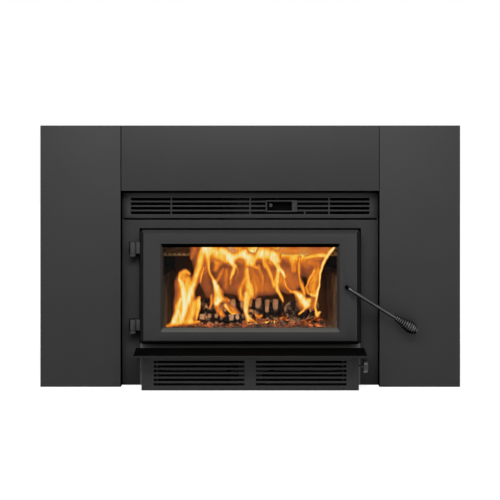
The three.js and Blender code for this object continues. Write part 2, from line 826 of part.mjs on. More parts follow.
function airTube(y) {
  const half = channelInner + tubeInChannel;
  const outer = bar("x", tubeRadius, [y, tubeHeight], -half, half, 14);
  return outer.subtract(bar("x", tubeRadius - tubeWall, [y, tubeHeight], -half - 1, half + 1, 10));
}

function baffleBoard(side) {
  const ends = [side * seatGap, side * (channelInner + baffleBearing)];
  const bottom = channelTop + seatGap;
  return block(ends, [baffleFront, rearBrickFront], [bottom, bottom + baffleThickness]);
}

// The angle behind the top of the mouth that sends the air down over the glass.
function airWashDeflector() {
  const half = mouthHalf - deflectorInset;
  const top = fireboxTop - fireboxPlate - seatGap;
  const bottom = top - deflectorHeight;
  const upright = block([-half, half], [behindFace, behindFace + deflectorSheet], [bottom, top]);
  return upright.add(
    block([-half, half], [behindFace, behindFace + deflectorDepth], [bottom, bottom + deflectorSheet]),
  );
}

addPiece("floor_brick_left", floorBrick(-1), "firebrick");
addPiece("floor_brick_right", floorBrick(1), "firebrick");
addPiece("side_brick_left", sideBrick(-1), "firebrick");
addPiece("side_brick_right", sideBrick(1), "firebrick");
addPiece("rear_brick_left", rearBrick(-1), "firebrick");
addPiece("rear_brick_right", rearBrick(1), "firebrick");
addPiece("air_channel_left", airChannel(-1), "fireboxSteel");
addPiece("air_channel_right", airChannel(1), "fireboxSteel");
tubePlaces.forEach((y, i) => addPiece(`air_tube_${i + 1}`, airTube(y), "stainless"));
addPiece("baffle_board_left", baffleBoard(-1), "baffleBoard");
addPiece("baffle_board_right", baffleBoard(1), "baffleBoard");
addPiece("air_wash_deflector", airWashDeflector(), "fireboxSteel");

// ---------------------------------------------------------------- flue collar

function flueCollar() {
  const bottom = fireboxTop + seatGap;
  const profile = [
    [flueRadius, 0],
    [flueRadius + flueWall + flueFlange, 0],
    [flueRadius + flueWall + flueFlange, flueFlangeThickness],
    [flueRadius + flueWall, flueFlangeThickness],
    [flueRadius + flueWall, flueHeight],
    [flueRadius, flueHeight],
    [flueRadius, 0],
  ].map(([radius, height]) => new THREE.Vector2(radius, height));
  const lathe = new THREE.LatheGeometry(profile, 32);
  lathe.rotateX(Math.PI / 2);
  lathe.translate(0, fluePlace, bottom);
  return solidOf(lathe);
}

addPiece("flue_collar", flueCollar(), "fireboxSteel");

// ---------------------------------------------------------------- air inlet and its control

const inletBottom = fireboxTop + seatGap;
const inletTop = bodyHeight - inletHeadroom;
const leverZ = (windowBottom + windowTop) / 2 + leverAboveMiddle;
const shutterBack = inletFront - seatGap;
const shutterFront = shutterBack - shutterThickness;
const railFront = shutterFront - seatGap - railLip;
const railBottom = windowBottom - railBelowWindow;
const shutterBottom = railBottom + railWidth + seatGap;
const shutterTop = inletTop - railWidth - seatGap;

// The sheet box over the slot in the firebox top. Two lipped rails on its front hold the shutter.
function airInletBox() {
  const x = [inletLeft, inletRight];
  const box = block(x, [inletFront, inletBack], [inletBottom, inletTop]);
  const hollow = block(
    [inletLeft + inletSheet, inletRight - inletSheet],
    [inletFront + inletSheet, inletBack - inletSheet],
    [inletBottom - 1, inletTop - inletSheet],
  );
  const slot = block(
    [leverPlace - leverSlotSpare, leverPlace + leverTravel],
    [inletFront - 1, inletFront + inletSheet + 1],
    [leverZ - leverSlotHalf, leverZ + leverSlotHalf],
  );
  const lipTop = shutterBottom + railWidth;
  const lipBottom = shutterTop - railWidth;
  return together([
    box.subtract(hollow).subtract(slot),
    block(x, [railFront, inletFront], [railBottom, railBottom + railWidth]),
    block(x, [railFront, railFront + railLip], [railBottom, lipTop]),
    block(x, [railFront, inletFront], [inletTop - railWidth, inletTop]),
    block(x, [railFront, railFront + railLip], [lipBottom, inletTop]),
  ]);
}

const shutterLeft = leverPlace - shutterLead;

const airShutter = () =>
  block([shutterLeft, shutterLeft + shutterWidth], [shutterFront, shutterBack], [shutterBottom, shutterTop]);

function airControlLever() {
  const front = windowFrameFront - leverKnobFront;
  const place = [leverPlace, leverZ];
  const rod = bar("y", leverRodRadius, place, front + 1, shutterFront - seatGap, 10);
  const knob = bar("y", leverKnobRadius, place, front, front + leverKnobLength, 12);
  return rod.add(knob);
}

addPiece("air_inlet_box", airInletBox(), "fireboxSteel");
addPiece("air_shutter", airShutter(), "zincPlate");
addPiece("air_control_lever", airControlLever(), "blackSteel");

// ---------------------------------------------------------------- hinges

// The body's half of a hinge: a round-ended lug with the pin that the knuckle drops over.
function hingeBracket(knuckleBottom) {
  const top = knuckleBottom - seatGap;
  const bottom = top - lugHeight;
  const centre = [hingePlace, hingeAxisY];
  const arm = block(
    [hingePlace - lugRadius, hingePlace + lugRadius],
    [hingeAxisY, faceFront - seatGap],
    [bottom, top],
  );
  const pinTop = knuckleBottom + knuckleHeight - pinEndInset;
  return together([
    arm,
    bar("z", lugRadius, centre, bottom, top, 20),
    bar("z", knucklePinRadius, centre, bottom, pinTop, 16),
  ]);
}

// The door's half: a bored knuckle with the leaf that is welded to the door's side.
function hingeKnuckle(bottom) {
  const top = bottom + knuckleHeight;
  const centre = [hingePlace, hingeAxisY];
  const leafEnd = -doorHalf - seatGap;
  const leaf = block(
    [hingePlace, leafEnd],
    [hingeAxisY - knuckleLeaf / 2, hingeAxisY + knuckleLeaf / 2],
    [bottom, top],
  );
  return bar("z", knuckleRadius, centre, bottom, top, 24)
    .add(leaf)
    .subtract(bore("z", knucklePinRadius, centre, bottom - 1, top + 1, 16));
}

const upperKnuckle = doorTop - upperKnuckleDrop;
const lowerKnuckle = doorBottom + lowerKnuckleRise;
addPiece("hinge_bracket_upper", hingeBracket(upperKnuckle), "charcoalPaint");
addPiece("hinge_bracket_lower", hingeBracket(lowerKnuckle), "charcoalPaint");
addPiece("hinge_knuckle_upper", hingeKnuckle(upperKnuckle), "charcoalPaint");
addPiece("hinge_knuckle_lower", hingeKnuckle(lowerKnuckle), "charcoalPaint");

// ---------------------------------------------------------------- door

const ropeReach = ropeRadius + ropeSlack; // from the rope's middle to the walls of its channel
const ropeInset = doorWall + ropeReach;
const ropeY = faceFront - seatGap - ropeRadius;

// An outline of the door drawn in by a margin, as a ring at a distance from the wall.
function doorRing(margin, y, radius) {
  const half = doorHalf - margin;
  return roundedRectangle(half, doorBottom + margin, doorTop - margin, radius).map(([x, z]) => [x, y, z]);
}

function viewRing(side, end, y, radius) {
  const outline = roundedRectangle(viewHalf + side, viewBottom - end, viewTop + end, radius);
  return outline.map(([x, z]) => [x, y, z]);
}

const retainerHalf = glassHalf - retainerInset;
const retainerScrewPlaces = Array.from(
  { length: retainerScrews },
  (_, i) => (retainerHalf - retainerFlange) * ((2 * i) / (retainerScrews - 1) - 1),
);
const retainerScrewHeights = [
  glassBottom - retainerSheet - retainerFlange / 2,
  glassTop + retainerSheet + retainerFlange / 2,
];

// A pressed and welded door: bevelled outside and round the view, hollow behind, with the rope's channel at
// its edge.
function doorFrame() {
  const bevelBase = doorFront + doorBevelDepth;
  const outside = solidOf(
    loft([
      doorRing(0, doorBack, doorCorner),
      doorRing(0, bevelBase, doorCorner),
      doorRing(doorBevel, doorFront, bevelCorner),
    ]),
  );
  const view = solidOf(
    loft([
      viewRing(0, 0, doorBack + 1, viewCorner),
      viewRing(0, 0, doorFront + viewBevelDepth, viewCorner),
      viewRing(viewBevelSide, viewBevelEnd, doorFront, viewCorner + bevelCorner),
      viewRing(viewBevelSide, viewBevelEnd, doorFront - 1, viewCorner + bevelCorner),
    ]),
  );
  const channelMargin = doorWall + 2 * ropeReach;
  const outerCorner = ropeCorner + ropeReach;
  const innerCorner = ropeCorner - ropeReach;
  const hollowMargin = channelMargin + ropeChannelWall;
  const hollow = loft([
    doorRing(hollowMargin, doorBack + 1, innerCorner),
    doorRing(hollowMargin, doorPlateBack, innerCorner),
  ]);
  const channelBack = ropeY - ropeRadius - seatGap;
  const channel = solidOf(
    loft([doorRing(doorWall, doorBack + 1, outerCorner), doorRing(doorWall, channelBack, outerCorner)]),
  ).subtract(
    solidOf(
      loft([
        doorRing(channelMargin, doorBack + 2, innerCorner),
        doorRing(channelMargin, channelBack - 1, innerCorner),
      ]),
    ),
  );
  let frame = outside.subtract(view).subtract(solidOf(hollow)).subtract(channel);
  const shaft = [handlePlaceX, handlePlaceZ];
  frame = frame.subtract(bore("y", handleRodRadius, shaft, doorFront - 1, doorPlateBack + 1));
  for (const z of retainerScrewHeights) {
    for (const x of retainerScrewPlaces) {
      const end = doorPlateBack - retainerScrewDepth;
      frame = frame.subtract(bore("y", retainerScrewRadius, [x, z], end, doorPlateBack + 1, 6));
    }
  }
  return frame;
}

const doorGlass = () => block([-glassHalf, glassHalf], [glassFront, glassBack], [glassBottom, glassTop]);

function glassSeal() {
  const y = [glassFront - seatGap - glassGasket, glassFront - seatGap];
  const inner = glassHalf - glassGasketWidth;
  const innerZ = [glassBottom + glassGasketWidth, glassTop - glassGasketWidth];
  return block([-glassHalf, glassHalf], y, [glassBottom, glassTop]).subtract(
    block([-inner, inner], [y[0] - 1, y[1] + 1], innerZ),
  );
}

// A folded strip over the glass's upper or lower edge: a lip behind the glass, a step and a flange that is
// screwed to the door.
function glassRetainer(end) {
  const edge = end > 0 ? glassTop : glassBottom;
  const lipBack = glassBack + seatGap + retainerSheet;
  const plateFace = doorPlateBack + seatGap;
  const web = edge + end * (seatGap + retainerSheet);
  const x = [-retainerHalf, retainerHalf];
  const strip = together([
    block(x, [lipBack - retainerSheet, lipBack], [edge - end * retainerGrip, web]),
    block(x, [plateFace, lipBack], [edge + end * seatGap, web]),
    block(x, [plateFace, plateFace + retainerSheet], [edge + end * seatGap, web + end * retainerFlange]),
  ]);
  const z = retainerScrewHeights[end > 0 ? 1 : 0];
  const headEnd = plateFace + retainerSheet + retainerScrewHeadHeight;
  const screws = retainerScrewPlaces.map((place) =>
    bar("y", retainerScrewHead, [place, z], plateFace, headEnd, 6).add(
      bar("y", retainerScrewRadius, [place, z], doorPlateBack - retainerScrewDepth + 1, plateFace + 1, 6),
    ),
  );
  return strip.add(together(screws));
}

// The rope that seals the door, laid once round in its channel.
function doorRope() {
  const ring = doorRing(ropeInset, ropeY, ropeCorner).map((point) => new THREE.Vector3(...point));
  return solidOf(loft(ringsAlong(ring, ropeRadius, 8, true), true));
}

addPiece("door_frame", doorFrame(), "charcoalPaint");
addPiece("door_glass", doorGlass(), "ceramicGlass");
addPiece("glass_gasket", glassSeal(), "rope");
addPiece("glass_retainer_top", glassRetainer(1), "zincPlate");
addPiece("glass_retainer_bottom", glassRetainer(-1), "zincPlate");
addPiece("door_rope_gasket", doorRope(), "rope");

// ---------------------------------------------------------------- door handle and latch

const latchFingerBack = latchFingerFront + latchFingerThickness;
const latchNutFront = latchFingerBack + seatGap;
const shaftEndY = latchNutFront + latchNutHeight + latchShaftEnd;

// The rod runs forward through the door, bends and slopes down to the right.
function handleRod() {
  const bendCentre = new THREE.Vector3(handlePlaceX, handleRodY + handleBend, handlePlaceZ);
  bendCentre.addScaledVector(handleAlong, handleBend);
  const forward = new THREE.Vector3(0, -1, 0);
  const bendSteps = 5;
  const path = [new THREE.Vector3(handlePlaceX, shaftEndY, handlePlaceZ)];
  for (let i = 0; i <= bendSteps; i += 1) {
    const angle = ((i / bendSteps) * Math.PI) / 2;
    const point = bendCentre.clone();
    point.addScaledVector(handleAlong, -handleBend * Math.cos(angle));
    point.addScaledVector(forward, handleBend * Math.sin(angle));
    path.push(point);
  }
  const start = new THREE.Vector3(handlePlaceX, handleRodY, handlePlaceZ);
  path.push(start.addScaledVector(handleAlong, handleReach));
  return solidOf(loft(ringsAlong(path, handleRodRadius, 12)));
}

// The wire's middle line: a helix round the rod whose radius swells and closes again. Each end runs on
// straight for one wire diameter.
function gripPath() {
  const curlSteps = 8;
  const steps = gripTurns * curlSteps;
  const up = new THREE.Vector3(0, -1, 0);
  const side = handleAlong.clone().cross(up);
  const base = new THREE.Vector3(handlePlaceX, handleRodY, handlePlaceZ);
  const power = Math.log(0.5) / Math.log(gripFullest);
  const points = Array.from({ length: steps + 1 }, (_, i) => {
    const share = i / steps;
    const swell = Math.sin(Math.PI * share ** power) ** 0.85;
    const radius = gripEndRadius + (gripFullRadius - gripEndRadius) * swell;
    const angle = (i / curlSteps) * 2 * Math.PI;
    const point = base.clone().addScaledVector(handleAlong, gripOffset + share * gripLength);
    point.addScaledVector(up, radius * Math.cos(angle));
    point.addScaledVector(side, radius * Math.sin(angle));
    return point;
  });
  const straight = (from, to) => {
    const onward = to.clone().sub(from).normalize();
    return to.clone().addScaledVector(onward, 2 * gripWireRadius);
  };
  return [straight(points[1], points[0]), ...points, straight(points[steps - 1], points[steps])];
}

// The least gap between turns of the wire, measured on points along it.
function leastGap(path, radius) {
  const fine = [];
  for (let i = 0; i + 1 < path.length; i += 1) {
    for (let k = 0; k < 4; k += 1) {
      fine.push(path[i].clone().lerp(path[i + 1], k / 4));
    }
  }
  let least = Infinity;
  let travelled = 0;
  const along = fine.map((point, i) => {
    travelled += i > 0 ? point.distanceTo(fine[i - 1]) : 0;
    return travelled;
  });
  for (let i = 0; i < fine.length; i += 1) {
    for (let j = i + 1; j < fine.length; j += 1) {
      if (along[j] - along[i] > 12 * radius) {
        least = Math.min(least, fine[i].distanceTo(fine[j]) - 2 * radius);
      }
    }
  }
  return least;
}

function handleGrip() {
  const path = gripPath();
  console.log(`handle grip: least gap between turns ${leastGap(path, gripWireRadius).toFixed(2)} mm`);
  return solidOf(loft(ringsAlong(path, gripWireRadius, 5)));
}

// The finger points up at rest, clear of the keeper edge, and goes behind it when the handle is pressed down.
function latchFinger() {
  const y = [latchFingerFront, latchFingerBack];
  const shaft = [handlePlaceX, handlePlaceZ];
  const finger = block([fingerRight - latchFingerWidth, fingerRight], y, [
    handlePlaceZ,
    handlePlaceZ + latchFingerLength,
  ]);
  return bar("y", latchHubRadius, shaft, ...y, 20)
    .add(finger)
    .subtract(bore("y", handleRodRadius, shaft, y[0] - 1, y[1] + 1));
}

function latchNut() {
  const y = [latchNutFront, latchNutFront + latchNutHeight];
  const shaft = [handlePlaceX, handlePlaceZ];
  return bar("y", latchNutRadius, shaft, ...y, 6).subtract(
    bore("y", handleRodRadius, shaft, y[0] - 1, y[1] + 1),
  );
}

addPiece("handle_rod", handleRod(), "blackSteel");
addPiece("handle_grip", handleGrip(), "blackSteel");
addPiece("latch_finger", latchFinger(), "zincPlate");
addPiece("latch_nut", latchNut(), "zincPlate");

// ---------------------------------------------------------------- ash shelf and blower housing

function ashShelf() {
  const frontHalf = housingHalf + shelfOverhang;
  const backHalf = frontHalf + shelfFlare;
  const outline = [
    [-backHalf, housingBack],
    [backHalf, housingBack],
    [frontHalf, shelfFront],
    [-frontHalf, shelfFront],
  ];
  return prism("z", outline, shelfBottom, shelfBottom + shelfThickness);
}

function blowerHousing() {
  const outer = block([-housingHalf, housingHalf], [housingFront, housingBack], [0, housingHeight]);
  const inside = housingHalf - housingSheet;
  const hollow = block(
    [-inside, inside],
    [housingFront + housingSheet, housingBack + 1],
    [housingSheet, housingHeight - housingSheet],
  );
  const louvreOuter = housingHalf - louvreMargin;
  const louvres = [];
  for (let row = 0; row < louvreRows; row += 1) {
    const z = louvreLowest + row * louvrePitch;
    for (const side of [-1, 1]) {
      louvres.push(
        block(
          [side * louvreInner, side * louvreOuter],
          [housingFront - 1, housingFront + housingSheet + 1],
          [z - louvreHeight / 2, z + louvreHeight / 2],
        ),
      );
    }
  }
  const knobHole = bore("x", knobShaftRadius, [knobPlaceY, knobPlaceZ], inside - 1, housingHalf + 1, 12);
  const glandHole = bore("x", glandNeck, [knobPlaceY, glandPlaceZ], -inside + 1, -housingHalf - 1, 12);
  return outer.subtract(hollow).subtract(together(louvres)).subtract(knobHole).subtract(glandHole);
}

addPiece("ash_shelf", ashShelf(), "charcoalPaint");
addPiece("blower_housing", blowerHousing(), "charcoalPaint");

// ---------------------------------------------------------------- blower

const housingFloor = housingSheet + seatGap;
const shaftHalf = bearingInner + bearingThickness + rotorShaftOverrun;
const rotorCentre = [rotorY, rotorZ];

function blowerMotor() {
  const half = motorLength / 2;
  const foot = block(
    [-half, half],
    [rotorY - motorFootWidth / 2, rotorY + motorFootWidth / 2],
    [housingFloor, rotorZ - motorRadius / 2],
  );
  return bar("x", motorRadius, rotorCentre, -half, half, 20)
    .add(foot)
    .subtract(bore("x", rotorShaftRadius, rotorCentre, -half - 1, half + 1, 12));
}

// An end bearing: a plate that stands on the housing's floor and also holds the end of a scroll.
function blowerBearing(side) {
  const x = [side * bearingInner, side * (bearingInner + bearingThickness)];
  const plate = block(
    x,
    [rotorY - bearingDepth / 2, rotorY + bearingDepth / 2],
    [housingFloor, bearingHeight + housingFloor],
  );
  const ends = [side * (bearingInner - 1), side * (bearingInner + bearingThickness + 1)];
  return plate.subtract(bore("x", rotorShaftRadius, rotorCentre, ...ends, 12));
}

// A sheet that hugs the top of a wheel and leads the air to the opening in the body face.
function blowerScroll(side) {
  const point = (radius, degrees) => {
    const angle = THREE.MathUtils.degToRad(degrees);
    return [rotorY + radius * Math.cos(angle), rotorZ + radius * Math.sin(angle)];
  };
  const inner = wheelRadius + scrollGap;
  const degrees = Array.from(
    { length: scrollSteps + 1 },
    (_, i) => scrollFirst + ((scrollLast - scrollFirst) * i) / scrollSteps,
  );
  const under = degrees.map((angle) => point(inner, angle));
  const over = degrees.map((angle) => point(inner + scrollSheet, angle));
  const mouth = [housingBack - seatGap, dischargeTop - scrollSheet];
  const mouthOver = [mouth[0], dischargeTop];
  const outline = [...under, mouth, mouthOver, ...over.reverse()];
  return prism("x", outline, side * (wheelInner - scrollLead), side * (bearingInner - seatGap));
}

function blowerWheel(side) {
  const ends = [wheelInner, wheelInner + wheelLength];
  const span = (from, to) => [side * from, side * to];
  const discs = ends.map((x, i) =>
    bar("x", wheelRadius, rotorCentre, ...span(x, x + (i === 0 ? wheelDisc : -wheelDisc)), 24),
  );
  const hub = bar("x", wheelHubRadius, rotorCentre, ...span(wheelInner, wheelInner + wheelHubLength), 12);
  const bladeMiddle = wheelRadius - bladeDepth / 2 - bladeInset;
  const blades = Array.from({ length: wheelBlades }, (_, i) => {
    const blade = new THREE.BoxGeometry(wheelLength - wheelDisc, bladeDepth, bladeThickness);
    blade.rotateX(THREE.MathUtils.degToRad(bladePitch));
    blade.translate(0, bladeMiddle, 0);
    blade.rotateX((i / wheelBlades) * 2 * Math.PI);
    blade.translate(side * (wheelInner + wheelLength / 2), rotorY, rotorZ);
    return solidOf(blade);
  });
  const through = span(wheelInner - 1, wheelInner + wheelLength + 1);
  const hole = bore("x", rotorShaftRadius, rotorCentre, ...through, 12);
  return together([...discs, hub, ...blades]).subtract(hole);
}

addPiece("blower_motor", blowerMotor(), "motorIron");
addPiece("blower_bearing_left", blowerBearing(-1), "zincPlate");
addPiece("blower_bearing_right", blowerBearing(1), "zincPlate");
addPiece("blower_scroll_left", blowerScroll(-1), "galvanised");
addPiece("blower_scroll_right", blowerScroll(1), "galvanised");
addPiece("blower_shaft", bar("x", rotorShaftRadius, rotorCentre, -shaftHalf, shaftHalf, 12), "zincPlate");
addPiece("blower_wheel_left", blowerWheel(-1), "galvanised");
addPiece("blower_wheel_right", blowerWheel(1), "galvanised");

// ---------------------------------------------------------------- speed control and cord gland

const controlFace = housingHalf - housingSheet - seatGap;

function speedControl() {
  const half = controlSize / 2;
  const body = block(
    [controlFace - controlDepth, controlFace],
    [knobPlaceY - half, knobPlaceY + half],
    [knobPlaceZ - half, knobPlaceZ + half],
  );
  const through = [controlFace - controlDepth - 1, controlFace + 1];
  return body.subtract(bore("x", knobShaftRadius, [knobPlaceY, knobPlaceZ], ...through, 12));
}

function speedKnob() {
  const start = housingHalf + knobStandoff;
  const face = start + knobLength - knobPointer;
  const knob = turnedAlongX(
    [
      [controlFace - controlDepth + 2, 0],
      [controlFace - controlDepth + 2, knobShaftRadius],
      [start, knobShaftRadius],
      [start, knobRadius - 0.6],
      [start + 1.2, knobRadius],
      [face - 1.5, knobRadius - 0.8],
      [face, knobRadius - knobChamfer],
      [face, 0],
    ],
    knobPlaceY,
    knobPlaceZ,
    24,
  );
  const pointer = block(
    [face - 1, face + knobPointer],
    [knobPlaceY - knobPointerWidth / 2, knobPlaceY + knobPointerWidth / 2],
    [knobPlaceZ + 2, knobPlaceZ + knobRadius - knobChamfer - 0.8],
  );
  return knob.add(pointer);
}

function cordGland() {
  const outerFace = -housingHalf - seatGap;
  const innerFace = -controlFace;
  return turnedAlongX(
    [
      [outerFace - glandFlange, 0],
      [outerFace - glandFlange, glandRadius - 1],
      [outerFace - glandFlange + 1, glandRadius],
      [outerFace, glandRadius],
      [outerFace, glandNeck],
      [innerFace, glandNeck],
      [innerFace, glandRadius],
      [innerFace + glandFlange, glandRadius],
      [innerFace + glandFlange, 0],
    ],
    knobPlaceY,
    glandPlaceZ,
    16,
  );
}

addPiece("speed_control", speedControl(), "blackPlastic");
addPiece("speed_knob", speedKnob(), "blackPlastic");
addPiece("cord_gland", cordGland(), "blackPlastic");

// ---------------------------------------------------------------- the fire

const emberHalf = fireboxHalf - brickThickness - emberSideMargin;

// A low bed of embers and ash over the floor bricks.
function emberBed() {
  const bottom = brickFloorTop + seatGap;
  const front = brickFront + emberFrontMargin;
  const back = rearBrickFront - emberBackMargin;
  const ring = (margin, z) =>
    Array.from({ length: 20 }, (_, i) => {
      const angle = (i / 20) * 2 * Math.PI;
      const wobble = 1 - 0.07 * Math.sin(3 * angle) - 0.05 * Math.cos(5 * angle);
      const x = (emberHalf - margin) * Math.cos(angle) * (i % 5 === 0 ? 1 : wobble);
      const y = (front + back) / 2 + ((back - front) / 2 - margin) * Math.sin(angle) * wobble * 0.93;
      return [x, y, z];
    });
  const shoulder = ring(emberSlope / 3, bottom + emberHeight * 0.6);
  return solidOf(loft([ring(0, bottom), shoulder, ring(emberSlope, bottom + emberHeight)]));
}

// A split log, from one end to the other: an uneven round that lies on the embers.
function log(ends, depths, radius, seed) {
  const sides = 9;
  const rest = brickFloorTop + emberHeight + 2 * seatGap;
  const path = [0, 0.35, 0.7, 1].map((share) => {
    const x = ends[0] + (ends[1] - ends[0]) * share;
    const y = depths[0] + (depths[1] - depths[0]) * share;
    return new THREE.Vector3(x, y, rest + radius);
  });
  const rings = ringsAlong(path, 1, sides).map((ring, r) =>
    ring.map((place, k) => {
      const lump = 1 - 0.16 * Math.abs(Math.sin(seed * 1.7 + k * 2.3 + r * 0.9));
      return path[r].toArray().map((middle, axis) => middle + (place[axis] - middle) * radius * lump);
    }),
  );
  const lowest = Math.min(...rings.flat().map((place) => place[2]));
  return solidOf(loft(rings.map((ring) => ring.map(([x, y, z]) => [x, y, z - lowest + rest]))));
}

const rearLogEnds = [rearLogMargins[0] - emberHalf, emberHalf - rearLogMargins[1]];
const frontLogEnds = frontLogMargins.map((margin) => margin - emberHalf);
const rightLogEnds = rightLogMargins.map((margin) => emberHalf - margin);

addPiece("ember_bed", emberBed(), "embers");
addPiece("log_rear", log(rearLogEnds, rearLogDepths, rearLogRadius, 1), "charredWood");
addPiece("log_front", log(frontLogEnds, frontLogDepths, frontLogRadius, 2), "charredWood");
addPiece("log_right", log(rightLogEnds, rightLogDepths, rightLogRadius, 3), "charredWood");

export default insert;
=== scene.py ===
# A wood-burning fireplace insert with its fire lit: folded steel surround, glazed door, ash shelf and blower.
# Metres, +Z up. The front faces -Y, and Y = 0 is the wall that the surround closes.
import json
import math

import bmesh
import bpy
import numpy as np
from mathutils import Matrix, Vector, noise

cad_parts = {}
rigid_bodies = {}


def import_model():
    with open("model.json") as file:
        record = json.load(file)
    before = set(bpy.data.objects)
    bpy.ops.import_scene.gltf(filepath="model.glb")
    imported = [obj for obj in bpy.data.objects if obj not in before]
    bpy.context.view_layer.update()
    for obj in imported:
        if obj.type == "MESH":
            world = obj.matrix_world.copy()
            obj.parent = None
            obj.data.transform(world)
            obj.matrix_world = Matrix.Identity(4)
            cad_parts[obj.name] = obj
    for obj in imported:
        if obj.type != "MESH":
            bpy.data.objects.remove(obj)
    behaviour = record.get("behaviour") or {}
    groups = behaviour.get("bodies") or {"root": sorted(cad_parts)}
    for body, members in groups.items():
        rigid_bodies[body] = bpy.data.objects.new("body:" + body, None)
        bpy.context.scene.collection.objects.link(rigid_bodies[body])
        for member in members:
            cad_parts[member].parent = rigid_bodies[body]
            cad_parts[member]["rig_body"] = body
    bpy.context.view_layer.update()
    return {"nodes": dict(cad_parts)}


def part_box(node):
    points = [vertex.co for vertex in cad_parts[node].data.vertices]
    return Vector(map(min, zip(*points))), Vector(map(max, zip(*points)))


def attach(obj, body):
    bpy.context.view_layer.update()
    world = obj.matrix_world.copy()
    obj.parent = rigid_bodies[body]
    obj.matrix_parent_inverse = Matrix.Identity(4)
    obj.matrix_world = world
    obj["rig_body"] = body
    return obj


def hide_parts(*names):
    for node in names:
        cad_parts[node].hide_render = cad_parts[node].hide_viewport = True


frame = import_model()
scene = bpy.context.scene
scene.view_settings.view_transform = "Standard"
mm = 0.001


# ---------------------------------------- the camera
# It stands 2.8 m in front of the surround, level, a little under the surround's top edge in height. The
# frame is shifted down, so that the horizon lies well above the middle of the picture.

picture_side = 500
horizon_row = 195
focal_pixels = 1052
camera_place = Vector((-0.0005, -2.8254, 0.5109))

camera_data = bpy.data.cameras.new("camera")
camera_data.sensor_width = 36
camera_data.lens = focal_pixels / picture_side * camera_data.sensor_width
camera_data.shift_y = (horizon_row - picture_side / 2) / picture_side


def put_in_scene(name, data):
    made = bpy.data.objects.new(name, data)
    scene.collection.objects.link(made)
    return made


camera = put_in_scene("camera", camera_data)
camera.location = camera_place
camera.rotation_euler = (math.pi / 2, 0, 0)
scene.camera = camera


# ---------------------------------------- floor and light
# A pale studio floor that runs on into a white surround, one wide softbox high in front and a weak one on
# each side. What is seen of floor and surround is white, apart from the object's own shadow.

def put(tree, socket, term):
    """Sets a socket to a value, or links it to an output or to a node's first output."""
    if isinstance(term, bpy.types.Node):
        term = term.outputs[0]
    if isinstance(term, bpy.types.NodeSocket):
        tree.links.new(term, socket)
    else:
        socket.default_value = term


def add(tree, kind, **terms):
    """One node. Names in small letters are its settings, and names with a capital are its sockets."""
    node = tree.nodes.new(kind)
    for name, term in terms.items():
        if name[0].islower():
            setattr(node, name, term)
        else:
            put(tree, node.inputs[name.replace("_", " ")], term)
    return node


def in_order(tree, kind, *terms, **settings):
    """The first output of a node whose inputs take the terms in their order."""
    node = add(tree, kind, **settings)
    for socket, term in zip(node.inputs, terms):
        put(tree, socket, term)
    return node.outputs[0]


def reckon(tree, operation, *terms):
    return in_order(tree, "ShaderNodeMath", *terms, operation=operation)


def node_material(name):
    """A material with an empty tree, and the place on the piece in metres."""
    material = bpy.data.materials.new(name)
    material.use_nodes = True
    tree = material.node_tree
    tree.nodes.clear()
    return material, tree, tree.nodes.new("ShaderNodeTexCoord").outputs["Object"]


def seen_rays(tree):
    """1 for what the camera sees, and for what metal and glass show."""
    path = tree.nodes.new("ShaderNodeLightPath")
    seen = path.outputs["Is Camera Ray"]
    for kind in ("Glossy", "Transmission"):
        seen = reckon(tree, "MAXIMUM", seen, path.outputs[f"Is {kind} Ray"])
    return seen


def pale_floor():
    material, tree, place = node_material("studio_floor")
    away = add(tree, "ShaderNodeVectorMath", operation="LENGTH", Vector=place).outputs["Value"]
    brighter = add(tree, "ShaderNodeMapRange", Value=away, From_Min=0.7, From_Max=3, To_Min=0.8, To_Max=1)
    dull = add(tree, "ShaderNodeBsdfDiffuse", Color=(0.2, 0.2, 0.2, 1))
    matt = add(tree, "ShaderNodeBsdfDiffuse", Color=(0.8, 0.8, 0.8, 1))
    glow = add(tree, "ShaderNodeEmission", Color=(1, 1, 1, 1), Strength=brighter)
    both = in_order(tree, "ShaderNodeAddShader", matt, glow)
    seen = in_order(tree, "ShaderNodeMixShader", seen_rays(tree), dull, both)
    add(tree, "ShaderNodeOutputMaterial", Surface=seen)
    return material


floor_reach = 60
floor_gap = 0.5 * mm
floor_mesh = bpy.data.meshes.new("studio_floor")
floor_mesh.from_pydata(
    [(x * floor_reach, y * floor_reach, -floor_gap) for x, y in ((-1, -1), (1, -1), (1, 1), (-1, 1))],
    [],
    [(0, 1, 2, 3)],
)
floor_mesh.materials.append(pale_floor())
put_in_scene("studio_floor", floor_mesh)

surround_light = 0.1
world = bpy.data.worlds.new("studio")
world.use_nodes = True
scene.world = world
sky = world.node_tree
level = add(sky, "ShaderNodeMapRange", Value=seen_rays(sky), To_Min=surround_light, To_Max=1)
put(sky, sky.nodes["Background"].inputs["Strength"], level)
put(sky, sky.nodes["Background"].inputs["Color"], (1, 1, 1, 1))


def softbox(name, place, target, size, power):
    lamp = bpy.data.lights.new(name, "AREA")
    lamp.shape = "RECTANGLE"
    lamp.size, lamp.size_y = size
    lamp.energy = power
    lamp_object = put_in_scene(name, lamp)
    lamp_object.location = place
    lamp_object.rotation_euler = (Vector(target) - Vector(place)).to_track_quat("-Z", "Y").to_euler()


softbox("softbox_front", place=(0, -1.9, 2.1), target=(0, 0, 0.45), size=(2.8, 1.0), power=52)
for side, aside in (("left", -2.4), ("right", 2.4)):
    softbox(f"softbox_{side}", place=(aside, -2.0, 1.3), target=(0, 0, 0.35), size=(1.2, 1.6), power=8)
